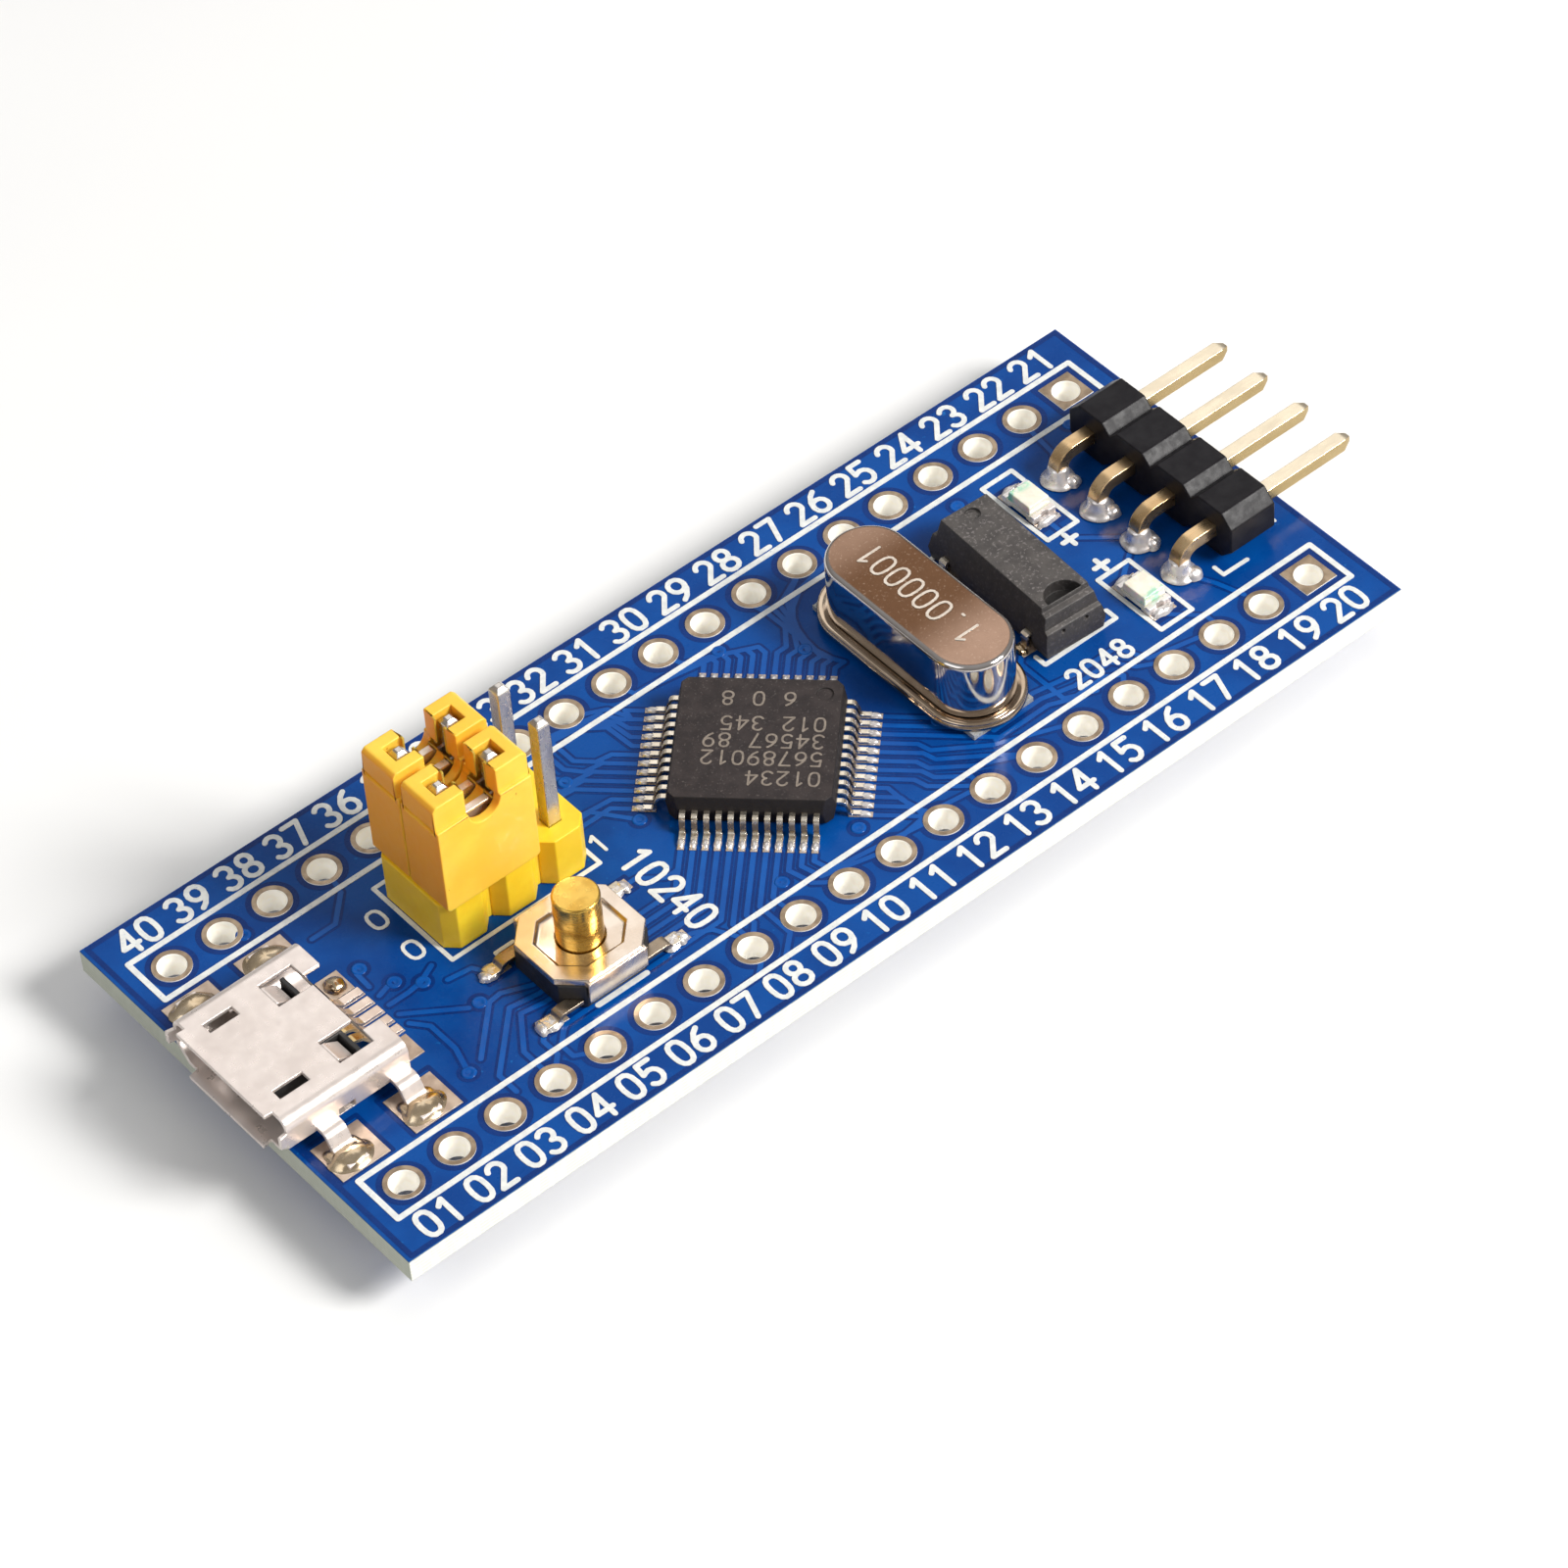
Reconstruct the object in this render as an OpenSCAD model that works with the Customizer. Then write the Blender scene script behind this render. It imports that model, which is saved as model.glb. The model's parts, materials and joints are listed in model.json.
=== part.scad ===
// Microcontroller development board: two rows of plated header holes, a
// micro-USB receptacle, a quad flat-pack controller set at 45 degrees, two
// crystals, two indicator LEDs, a right-angle debug header, a boot-select
// header with two lift-off jumper caps and a reset push switch.
// Frame: origin at the centre of the header-hole grid, on the board's top
// face. +X runs from the USB end to the debug-header end, +Z away from the
// board. All sizes are in millimetres.

/* [Board] */
// Length of the board along X
board_l = 52.8; // [52.6:0.1:55]
// Width of the board along Y
board_w = 21.7; // [21.5:0.1:24]
// Thickness of the board
board_t = 1.2; // [1:0.1:1.6]

/* [Header holes] */
// Distance between neighbouring holes of a row
pitch = 2.54; // [2.5:0.01:2.54]
// Number of holes in a row
hole_count = 20; // [16:1:20]
// Distance between the two rows
row_gap = 15.24; // [15:0.01:15.4]
// Inner diameter of a plated hole
hole_d = 1.2; // [1.1:0.02:1.2]
// Outer diameter of the plated ring
ring_d = 1.7; // [1.55:0.05:1.8]

/* [USB receptacle] */
// Height of the shell above the board
usb_h = 2.25; // [2.25:0.05:2.6]
// Width of the shell
usb_w = 7.5; // [7.4:0.1:7.7]
// Length of the shell
usb_l = 6.45; // [6.4:0.05:6.5]
// Distance that the mouth stands out past the board's end
usb_over = 0.7; // [0.4:0.1:0.8]

/* [Controller] */
// Side of the square package
mcu_side = 7; // [6.9:0.1:7]
// Height of the package's top above the board
mcu_top = 1.5; // [1.4:0.05:1.6]
// Number of leads on each side
mcu_leads_side = 12; // [8:1:12]
// Lead pitch
mcu_pitch = 0.5; // [0.45:0.01:0.5]

/* [Crystals] */
// Height of the metal crystal's top above the board
can_top = 3.6; // [3.4:0.05:4]
// Width of the metal can
can_w = 3.75; // [3.6:0.05:3.9]
// Height of the black crystal's top above the board
watch_top = 2.45; // [2.3:0.05:2.6]

/* [Headers and jumpers] */
// Side of a square header pin
pin_sq = 0.64; // [0.6:0.01:0.64]
// Height of the header plastic
base_h = 2.54; // [2.5:0.01:2.54]
// Height of the boot pins' tips above the board
boot_tip = 8.46; // [8.3:0.02:9]
// Height of a jumper cap
cap_h = 5.96; // [5.9:0.02:6.1]
// How far the debug pins' tips stand from the middle of the hole grid
swd_tip = 30; // [29:0.1:30.5]
// How far pin tails reach below the board
tail = 1.5; // [1.3:0.1:1.6]

/* [Reset switch] */
// Height of the plunger's top above the board
plunger_top = 3.9; // [3.8:0.1:4.2]
// Diameter of the plunger
plunger_d = 2; // [1.8:0.1:2.1]
// Travel of the plunger
plunger_travel = 0.25; // [0.15:0.05:0.25]

/* [Hidden] */
$fn = 48;
pad_t = 0.05;                       // thickness of copper pads and rings
wall_t = 0.045;                     // thickness of a hole's plating
hole_r = hole_d / 2;
row_y = row_gap / 2;
bot = -board_t;                     // level of the board's bottom face
end_x = -board_l / 2;               // the USB end of the board
usb_x0 = end_x - usb_over;          // the shell's mouth
usb_x1 = usb_x0 + usb_l;            // the shell's back
usb_s = 0.2;                        // the shell's sheet
usb_r = 0.55;                       // the shell's top corner radius
mcu_x = 0.33;                       // centre of the controller
mcu_half = mcu_side / 2;
can_x = 9.27;                       // centre of the metal crystal
can_len = 10.1;
lead_gap = 4.88;                    // spacing of its two leads
watch_x = 14.55;                    // centre of the black crystal
watch_turn = -3;                    // small turn of the black crystal
led_pos = [[18.3, 3.45], [18.25, -3.85]];
swd_x = 20.3;                       // line of the debug header's holes
swd_y = [-3.81, -1.27, 1.27, 3.81];
swd_x0 = 22.1;                      // inner face of the debug header's plastic
swd_z = 1.47;                       // level of its horizontal pins
boot_x = [-14.3, -11.76, -9.22];    // columns of the boot header
boot_y = [1.48, 4.02];              // its two rows
sw = [-11.68, -3.36];               // centre of the reset switch
tip = 0.45;                         // length of a pin's pointed end

// points of an arc about c
function arc(c, r, a0, a1, n) = [for (i = [0:n]) c + r * [cos(a0 + (a1 - a0) * i / n), sin(a0 + (a1 - a0) * i / n)]];
function dirv(a, b) = (b - a) / norm(b - a);
function nrm(v) = [-v[1], v[0]];
function mit(p, i) = i == 0 ? nrm(dirv(p[0], p[1]))
  : i == len(p) - 1 ? nrm(dirv(p[i - 1], p[i]))
  : let(a = nrm(dirv(p[i - 1], p[i])), b = nrm(dirv(p[i], p[i + 1])), m = (a + b) / norm(a + b)) m / (m * a);
// a sheet strip that follows the points p, t thick
module ribbon(p, t) {
  polygon(concat([for (i = [0:len(p) - 1]) p[i] + mit(p, i) * t / 2],
                 [for (i = [len(p) - 1:-1:0]) p[i] - mit(p, i) * t / 2]));
}
// a 2D shape of (x, z) made w wide along Y, centred
module along_y(w) { rotate([90, 0, 0]) linear_extrude(w, center = true) children(); }
// a 2D shape of (y, z) made w long along X, centred
module along_x(w) { rotate([90, 0, 90]) linear_extrude(w, center = true) children(); }
module box(x0, x1, y0, y1, z0, z1) { translate([x0, y0, z0]) cube([x1 - x0, y1 - y0, z1 - z0]); }
module plan_octagon(w, l, c) {
  polygon([[-w / 2 + c, -l / 2], [w / 2 - c, -l / 2], [w / 2, -l / 2 + c], [w / 2, l / 2 - c],
           [w / 2 - c, l / 2], [-w / 2 + c, l / 2], [-w / 2, l / 2 - c], [-w / 2, -l / 2 + c]]);
}
// the four-sided point of a square pin, pointing along +Z from z = 0
module pin_point(s, h) {
  intersection() {
    along_y(s * 2) polygon([[-s / 2, 0], [s / 2, 0], [s * 0.22, h], [-s * 0.22, h]]);
    along_x(s * 2) polygon([[-s / 2, 0], [s / 2, 0], [s * 0.22, h], [-s * 0.22, h]]);
  }
}

// ---------------------------------------------------------------- board
module header_points() {
  for (k = [0:hole_count - 1], s = [-1, 1])
    translate([(k - (hole_count - 1) / 2) * pitch, s * row_y, 0]) children();
}
module circuit_board() {
  color("royalblue") difference() {
    translate([-board_l / 2, -board_w / 2, bot]) cube([board_l, board_w, board_t]);
    header_points() translate([0, 0, bot - 1]) cylinder(r = hole_r + 0.05, h = board_t + 2);
    for (y = swd_y) translate([swd_x, y, bot - 1]) cylinder(r = 0.5, h = board_t + 2);
    for (x = boot_x, y = boot_y) translate([x, y, bot - 1]) cylinder(r = 0.5, h = board_t + 2);
    for (s = [-1, 1]) translate([can_x, s * lead_gap / 2, bot - 1]) cylinder(r = 0.35, h = board_t + 2);
  }
}
module plated_barrel() {
  rotate_extrude() polygon([[hole_r, bot - pad_t], [ring_d / 2, bot - pad_t], [ring_d / 2, bot],
    [hole_r + wall_t, bot], [hole_r + wall_t, 0], [ring_d / 2, 0], [ring_d / 2, pad_t], [hole_r, pad_t]]);
}
module plated_holes() {
  color("tan") for (s = [-1, 1]) {
    for (k = [0:hole_count - 2]) translate([(k - (hole_count - 1) / 2) * pitch, s * row_y, 0]) plated_barrel();
    // the last hole of each row has a square ring
    translate([(hole_count - 1) / 2 * pitch, s * row_y, 0]) difference() {
      union() {
        translate([0, 0, bot]) cylinder(r = hole_r + wall_t, h = board_t);
        for (z = [bot - pad_t, 0]) translate([-ring_d / 2, -ring_d / 2, z]) cube([ring_d, ring_d, pad_t]);
      }
      translate([0, 0, bot - 1]) cylinder(r = hole_r, h = board_t + 2);
    }
  }
}
module surface_pads() {
  color("tan") {
    // four mounting pads and the two rear earth pads of the receptacle
    for (s = [-1, 1], x = [-25.87, -22.25]) box(x, x + 2.35, s > 0 ? 3.85 : -6, s > 0 ? 6 : -3.85, 0, pad_t);
    for (s = [-1, 1]) box(-20.5, -19.4, s > 0 ? 1.66 : -2.9, s > 0 ? 2.9 : -1.66, 0, pad_t);
    for (i = [-2:2]) box(-20.75, -19.3, i * 0.65 - 0.21, i * 0.65 + 0.21, 0, pad_t);
    // controller pads
    translate([mcu_x, 0, 0]) rotate(45) for (q = [0:3]) rotate(q * 90)
      for (i = [0:mcu_leads_side - 1]) translate([3.95, (i - (mcu_leads_side - 1) / 2) * mcu_pitch - 0.14, 0]) cube([1, 0.28, pad_t]);
    // reset switch, crystal and LED pads
    for (x = [-15.2, -8.9], y = [-5.45, -1.75]) box(x, x + 1.1, y - 0.05, y + 0.55, 0, pad_t);
    translate([watch_x, 0, 0]) rotate(watch_turn) for (x = [-2.15, 1.25], y = [-3.15, 2.35]) box(x, x + 0.9, y, y + 0.8, 0, pad_t);
    for (p = led_pos, s = [-1, 1]) translate([p[0], p[1], 0]) box(-0.62, 0.62, s > 0 ? 0.65 : -1.35, s > 0 ? 1.35 : -0.65, 0, pad_t);
  }
}

// ---------------------------------------------------------------- micro-USB
// the shell's section: wide at the top, tapered towards the board
module usb_section(g) {
  polygon([[-usb_w / 2 + 0.75 + g / 2, g], [usb_w / 2 - 0.75 - g / 2, g], [usb_w / 2 - g, 0.75 + g / 2],
    [usb_w / 2 - g, usb_h - usb_r], [usb_w / 2 - usb_r, usb_h - g], [-usb_w / 2 + usb_r, usb_h - g],
    [-usb_w / 2 + g, usb_h - usb_r], [-usb_w / 2 + g, 0.75 + g / 2]]);
  for (s = [-1, 1]) translate([s * (usb_w / 2 - usb_r), usb_h - usb_r]) circle(usb_r - g);
}
module usb_leg() {
  along_x(1) ribbon(concat([[usb_w / 2 - 0.1, 0.86], [4.05, 0.86]], arc([4.05, 0.51], 0.35, 80, 30, 3),
    [[4.62, 0.25]], arc([4.82, 0.36], 0.2, 215, 265, 2), [[4.95, pad_t + 0.11], [5.75, pad_t + 0.11]]), 0.22);
}
module usb_shell() {
  xm = usb_x0 + 0.4;
  color("gainsboro") {
    difference() {
      translate([(xm + usb_x1) / 2, 0, 0]) along_x(usb_x1 - xm) usb_section(0);
      translate([(xm + usb_x1) / 2, 0, 0]) along_x(usb_l + 2) usb_section(usb_s);
      // latch slots near the mouth
      for (s = [-1, 1]) box(usb_x0 + 1.05, usb_x0 + 2.5, s * 2.3 - 0.27, s * 2.3 + 0.27, usb_h - 1, usb_h + 1);
      // clip windows near the back
      for (s = [-1, 1]) box(usb_x0 + 3.9, usb_x0 + 5.55, s * 1.98 - 0.72, s * 1.98 + 0.72, usb_h - 1, usb_h + 1);
      // recess in the back edge and the open floor behind the contacts
      box(usb_x1 - 0.85, usb_x1 + 1, -1.95, 1.95, usb_h - 1, usb_h + 1);
      box(usb_x1 - 1.3, usb_x1 + 1, -2.7, 2.7, -1, 0.5);
      // windows in the two sides
      for (s = [-1, 1]) box(usb_x0 + 2.9, usb_x0 + 3.7, s > 0 ? 3 : -4, s > 0 ? 4 : -3, 0.75, 1.1);
    }
    // flared lips of the mouth
    translate([0, 0, 0]) along_y(5.8) polygon([[xm, usb_h - usb_s], [xm, usb_h], [usb_x0, usb_h + 0.04], [usb_x0, usb_h - 0.16]]);
    along_y(4.9) polygon([[xm, 0], [xm, usb_s], [usb_x0, 0.1], [usb_x0, -0.1]]);
    for (s = [-1, 1]) mirror([0, s > 0 ? 0 : 1, 0]) translate([0, 0, 1]) linear_extrude(usb_h - usb_r - 1.05)
      polygon([[xm, usb_w / 2 - usb_s], [xm, usb_w / 2], [usb_x0 + 0.02, usb_w / 2 + 0.07], [usb_x0 + 0.02, usb_w / 2 - 0.13]]);
    // four soldered legs
    for (s = [-1, 1], x = [usb_x0 + 2.25, usb_x1 - 0.56]) mirror([0, s > 0 ? 0 : 1, 0]) translate([x, 0, 0]) usb_leg();
    // tabs bent down from the windows
    for (s = [-1, 1]) translate([0, s * 1.98, 0]) along_y(1.1)
      ribbon([[usb_x0 + 3.8, usb_h - usb_s / 2], [usb_x0 + 3.98, usb_h - usb_s / 2], [usb_x0 + 4.65, usb_h - 0.5]], 0.18);
  }
}
module usb_contact_path(g, w) {
  along_y(w) ribbon([[usb_x0 + 1.6, 1.19], [usb_x1 - 0.95, 1.19], [usb_x1 - 0.6, 1.05], [usb_x1 + 0.1, 0.22],
    [usb_x1 + 0.3, pad_t + 0.075], [-19.38, pad_t + 0.075]], 0.15 + 2 * g);
}
module usb_insulator() {
  color("black") difference() {
    union() {
      // rear block, inside the shell
      box(usb_x1 - 2.7, usb_x1 - 1.4, -2.55, 2.55, 0.25, usb_h - usb_s);
      // the tongue
      box(usb_x0 + 1.3, usb_x1 - 2.6, -1.75, 1.75, 1.1, 1.72);
      box(usb_x1 - 3.3, usb_x1 - 2.6, -2.1, 2.1, 1.0, 1.8);
    }
    for (i = [-2:2]) translate([0, i * 0.65, 0]) usb_contact_path(0.01, 0.42);
    for (s = [-1, 1]) box(usb_x0 + 3, usb_x1 - 1.6, s * 1.98 - 0.65, s * 1.98 + 0.65, usb_h - 0.75, usb_h + 1);
  }
}
module usb_contacts() {
  color("goldenrod") for (i = [-2:2]) translate([0, i * 0.65, 0]) usb_contact_path(0, 0.4);
}

// ---------------------------------------------------------------- controller
module mcu_package() {
  h0 = 0.12;
  zm = (mcu_top + h0) / 2;
  m = mcu_half;
  prof = [[-m + 0.12, h0], [m - 0.12, h0], [m, zm - 0.08], [m, zm + 0.08], [m - 0.13, mcu_top], [-m + 0.13, mcu_top], [-m, zm + 0.08], [-m, zm - 0.08]];
  color("#2b2726") translate([mcu_x, 0, 0]) rotate(45) difference() {
    intersection() {
      translate([0, 0, h0]) linear_extrude(mcu_top - h0) plan_octagon(mcu_side, mcu_side, 0.52);
      along_x(mcu_side * 2) polygon(prof);
      along_y(mcu_side * 2) polygon(prof);
    }
    // the dimple at the first lead's corner
    translate([m - 0.92, 0.86 - m, mcu_top - 0.07]) cylinder(r = 0.34, h = 1);
  }
}
module mcu_lead() {
  zm = (mcu_top + 0.12) / 2;
  along_y(0.24) ribbon(concat([[mcu_half, zm], [mcu_half + 0.2, zm]], arc([mcu_half + 0.2, zm - 0.17], 0.17, 65, 15, 2),
    [[mcu_half + 0.49, 0.34]], arc([mcu_half + 0.67, 0.29], 0.18, 200, 255, 2), [[4.5, pad_t + 0.06]]), 0.12);
}
module mcu_leads() {
  color("lightgoldenrodyellow") translate([mcu_x, 0, 0]) rotate(45) for (q = [0:3]) rotate(q * 90)
    for (i = [0:mcu_leads_side - 1]) translate([0, (i - (mcu_leads_side - 1) / 2) * mcu_pitch, 0]) mcu_lead();
}

// ---------------------------------------------------------------- metal crystal
// a body of round-ended plan, from its half section of (radius, height)
module stadium(len, w) {
  for (s = [-1, 1]) translate([0, s * (len - w) / 2, 0]) rotate_extrude() children();
  rotate([90, 0, 0]) linear_extrude(len - w, center = true) { children(); mirror([1, 0]) children(); }
}
module can_section(r, h, f) {
  square([r, h - f]);
  square([r - f, h]);
  translate([r - f, h - f]) intersection() { circle(f); square([f, f]); }
}
module crystal_can() {
  z0 = 0.66;
  color("silver") translate([can_x, 0, z0]) difference() {
    stadium(can_len, can_w) can_section(can_w / 2, can_top - z0, 0.5);
    translate([0, 0, -0.01]) stadium(can_len - 0.44, can_w - 0.44) can_section(can_w / 2 - 0.22, can_top - z0 - 0.22, 0.3);
  }
}
module crystal_base() {
  color("silver") translate([can_x, 0, 0]) difference() {
    union() {
      // plate with a raised round rim that the can is welded to
      translate([0, 0, 0.26]) stadium(11.05, 4.65) { square([2.325, 0.24]); square([2.21, 0.4]); translate([2.205, 0.28]) intersection() { circle(0.12); square(1); } }
      translate([0, 0, 0.66]) stadium(can_len - 0.5, can_w - 0.5) square([can_w / 2 - 0.25, 0.3]);
    }
    for (s = [-1, 1]) translate([0, s * lead_gap / 2, -1]) cylinder(r = 0.75, h = 3);
  }
}
module crystal_spacer() {
  // a thin clear sheet that keeps the metal base off the board
  color("whitesmoke") translate([can_x, 0, 0]) difference() {
    box(-1.62, 1.62, -5.15, 5.15, 0, 0.25);
    for (s = [-1, 1]) translate([0, s * lead_gap / 2, -1]) cylinder(r = 0.76, h = 3);
  }
}
module crystal_glass_seals() {
  color("lightcyan") for (s = [-1, 1]) translate([can_x, s * lead_gap / 2, 0.2])
    rotate_extrude() translate([0.225, 0]) square([0.515, 0.72]);
}
module crystal_leads() {
  color("silver") for (s = [-1, 1]) translate([can_x, s * lead_gap / 2, 0]) {
    translate([0, 0, bot - 1.3]) cylinder(r = 0.215, h = 1.9 + board_t + 1.3);
    translate([0, 0, 1.9]) cylinder(r = 0.5, h = 0.12);
  }
}
module quartz_blank() {
  color("white") box(can_x - 0.95, can_x + 0.95, -3.6, 3.6, 2.02, 2.2);
}

// ---------------------------------------------------------------- black crystal
module watch_crystal_body() {
  h0 = 0.1;
  h = watch_top;
  color("#232124") translate([watch_x, 0, 0]) rotate(watch_turn) difference() {
    intersection() {
      box(-2, 2, -4, 4, h0, h);
      along_y(9) polygon([[-1.5, h0], [1.5, h0], [1.6, 0.75], [1.22, h], [-1.22, h], [-1.6, 0.75]]);
      along_x(9) polygon([[-3.95, h0], [3.95, h0], [4, 0.75], [3.86, 1.5], [3.62, 1.55], [3.5, h], [-3.28, h], [-3.34, h - 0.26], [-3.62, h - 0.34],
        [-3.7, 1.5], [-3.9, 1.42], [-4, 0.75]]);
    }
    // the dimple, and the half-round pocket in the near end
    translate([0.05, 2.95, h - 0.14]) cylinder(r = 0.33, h = 1);
    intersection() {
      translate([0, -3.28, h - 0.6]) cylinder(r = 0.88, h = 1);
      box(-2, 2, -3.28, 0, 0, 4);
    }
    // two small marks in the near end
    for (x = [-0.62, 0.62]) translate([x, -3.8, 1.2]) rotate([90, 0, 0]) cylinder(r = 0.1, h = 0.4);
    // the sealed chamber of the tuning-fork capsule
    translate([0, 0, 0.98]) rotate([90, 0, 0]) cylinder(r = 0.76, h = 5.9, center = true);
    // slots of the leads
    for (x = [-1, 1], y = [-2.75, 2.75]) box(x > 0 ? 1.2 : -1.7, x > 0 ? 1.7 : -1.2, y - 0.21, y + 0.21, 0, 0.95);
  }
}
module watch_crystal_capsule() {
  color("silver") translate([watch_x, 0, 0.98]) rotate([0, 0, watch_turn]) rotate([90, 0, 0]) cylinder(r = 0.75, h = 5.8, center = true);
}
module watch_crystal_leads() {
  color("goldenrod") translate([watch_x, 0, 0]) rotate(watch_turn) for (s = [-1, 1], y = [-2.75, 2.75])
    translate([0, y, 0]) mirror([s > 0 ? 0 : 1, 0, 0])
      along_y(0.4) ribbon([[1.25, 0.85], [1.68, 0.85], [1.74, 0.8], [1.74, 0.22], [1.8, pad_t + 0.08], [2.1, pad_t + 0.08]], 0.15);
}

// ---------------------------------------------------------------- LEDs
module led_substrate() { box(-0.62, 0.62, -0.8, 0.8, pad_t + 0.1, 0.36); }
module led_lens() {
  intersection() {
    along_x(4) polygon([[-0.72, 0.36], [0.72, 0.36], [0.66, 0.8], [-0.66, 0.8]]);
    along_y(4) polygon([[-0.6, 0.36], [0.6, 0.36], [0.56, 0.8], [-0.56, 0.8]]);
  }
}
module led_power_substrate() { color("ivory") translate([led_pos[0][0], led_pos[0][1], 0]) led_substrate(); }
module led_power_lens() { color("honeydew") translate([led_pos[0][0], led_pos[0][1], 0]) led_lens(); }
module led_user_substrate() { color("ivory") translate([led_pos[1][0], led_pos[1][1], 0]) led_substrate(); }
module led_user_lens() { color("honeydew") translate([led_pos[1][0], led_pos[1][1], 0]) led_lens(); }
module led_terminals() {
  color("tan") for (p = led_pos, s = [-1, 1]) translate([p[0], p[1], 0]) mirror([0, s > 0 ? 0 : 1, 0]) difference() {
    union() {
      box(-0.62, 0.62, 0.8, 1.02, pad_t, 0.36);
      box(-0.62, 0.62, 0.5, 0.85, pad_t, pad_t + 0.1);
      box(-0.62, 0.62, 0.76, 1.02, 0.36, 0.41);
    }
    translate([0, 1.1, -1]) cylinder(r = 0.22, h = 3);
  }
}

// ---------------------------------------------------------------- debug header
// the strip's section: flats over the pins, notches between the cells
module swd_section() {
  c = 0.46;       // notch between two cells
  e = 0.62;       // bevel of the outer corners
  h = base_h / 2;
  n = len(swd_y) - 1;
  top = concat([[swd_y[0] - 1.27, h - e], [swd_y[0] - 1.27 + e, h]],
    [for (i = [0:n - 1], k = [0:2]) [swd_y[i] + 1.27 + (k - 1) * c, k == 1 ? h - c : h]],
    [[swd_y[n] + 1.27 - e, h], [swd_y[n] + 1.27, h - e]]);
  polygon(concat(top, [for (i = [len(top) - 1:-1:0]) [top[i][0], -top[i][1]]]));
}
module swd_header_housing() {
  color("#151517") difference() {
    translate([swd_x0 + 1.25, 0, 0.2 + base_h / 2]) along_x(2.5) swd_section();
    for (y = swd_y) box(swd_x0 - 1, swd_x0 + 4, y - pin_sq / 2, y + pin_sq / 2, swd_z - pin_sq / 2, swd_z + pin_sq / 2);
  }
}
module swd_header_pins() {
  color("gold") for (y = swd_y) translate([0, y, 0]) {
    along_y(pin_sq) ribbon(concat([[swd_tip - tip, swd_z]], arc([swd_x + 0.75, swd_z - 0.75], 0.75, 90, 180, 6),
      [[swd_x, bot - tail]]), pin_sq);
    translate([swd_tip - tip, 0, swd_z]) rotate([0, 90, 0]) pin_point(pin_sq, tip);
    translate([swd_x, 0, bot - tail]) rotate([180, 0, 0]) pin_point(pin_sq, 0.25);
  }
}

// ---------------------------------------------------------------- boot header
module boot_header_base() {
  ym = (boot_y[0] + boot_y[1]) / 2;
  color("gold") difference() {
    union() {
      for (x = boot_x) translate([x, ym, 0]) linear_extrude(base_h) plan_octagon(2.34, 4.76, 0.52);
      // the web that joins the three lobes
      box(boot_x[0], boot_x[2], ym - 1.82, ym + 1.82, 0, base_h);
    }
    for (x = boot_x, y = boot_y) box(x - pin_sq / 2, x + pin_sq / 2, y - pin_sq / 2, y + pin_sq / 2, -1, base_h + 1);
    // relief under the block, round the soldered pins
    for (x = boot_x) box(x - 0.7, x + 0.7, boot_y[0] - 0.7, boot_y[1] + 0.7, -1, 0.25);
  }
}
module boot_header_pins() {
  color("silver") for (x = boot_x, y = boot_y) translate([x, y, 0]) {
    translate([-pin_sq / 2, -pin_sq / 2, bot - tail]) cube([pin_sq, pin_sq, boot_tip - tip / 2 - bot + tail]);
    translate([0, 0, boot_tip - tip / 2]) pin_point(pin_sq, tip / 2);
    translate([0, 0, bot - tail]) rotate([180, 0, 0]) pin_point(pin_sq, 0.25);
  }
}
// a jumper cap about its own centre, its underside at z = 0
module jumper_cap() {
  w = 4.76;
  d = 2.42;
  u = 0.78;       // half the width of the trough
  ledge = 1.3;    // depth of the narrower top posts
  tb = cap_h - 2.1;
  difference() {
    box(-w / 2, w / 2, -d / 2, d / 2, 0, cap_h);
    // the top posts stand back from the long faces
    for (s = [-1, 1]) box(-w, w, s > 0 ? d / 2 - 0.16 : -d, s > 0 ? d : -d / 2 + 0.16, cap_h - ledge, cap_h + 1);
    // round-bottomed trough across the top
    along_y(d * 2) { translate([0, tb + u]) circle(u); translate([-u, tb + u]) square([2 * u, 3]); }
    // cavities of the two pins and the clip
    for (s = [-1, 1]) box(s * 1.27 - 0.56, s * 1.27 + 0.56, -0.75, 0.75, -1, cap_h - 1.45);
    for (s = [-1, 1]) box(s * 1.27 - 0.46, s * 1.27 + 0.46, -0.46, 0.46, -1, cap_h + 1);
    // slots from the trough to the pins' tips
    for (s = [-1, 1]) box(s > 0 ? 0.4 : -1.27, s > 0 ? 1.27 : -0.4, -0.3, 0.3, cap_h - 1.6, cap_h + 1);
    // clip chamber below the trough, with a rib left over its middle
    box(-1.3, 1.3, -0.78, 0.78, tb - 0.7, tb - 0.2);
    for (s = [-1, 1]) box(-1.3, 1.3, s > 0 ? 0.26 : -0.78, s > 0 ? 0.78 : -0.26, tb - 0.4, tb + 0.4);
    // grooves in the end faces, and the bevelled foot
    for (s = [-1, 1]) translate([s * w / 2, 0, cap_h - ledge - 0.1]) cube([0.34, 2.0, 0.26], center = true);
    for (s = [-1, 1]) translate([s * w / 2, 0, 0]) rotate([0, 45, 0]) cube([0.2, 6, 0.2], center = true);
    // bevels along the top of the two end faces
    for (s = [-1, 1]) translate([s * w / 2, 0, cap_h]) rotate([0, 45, 0]) cube([0.26, 6, 0.26], center = true);
  }
}
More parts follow.
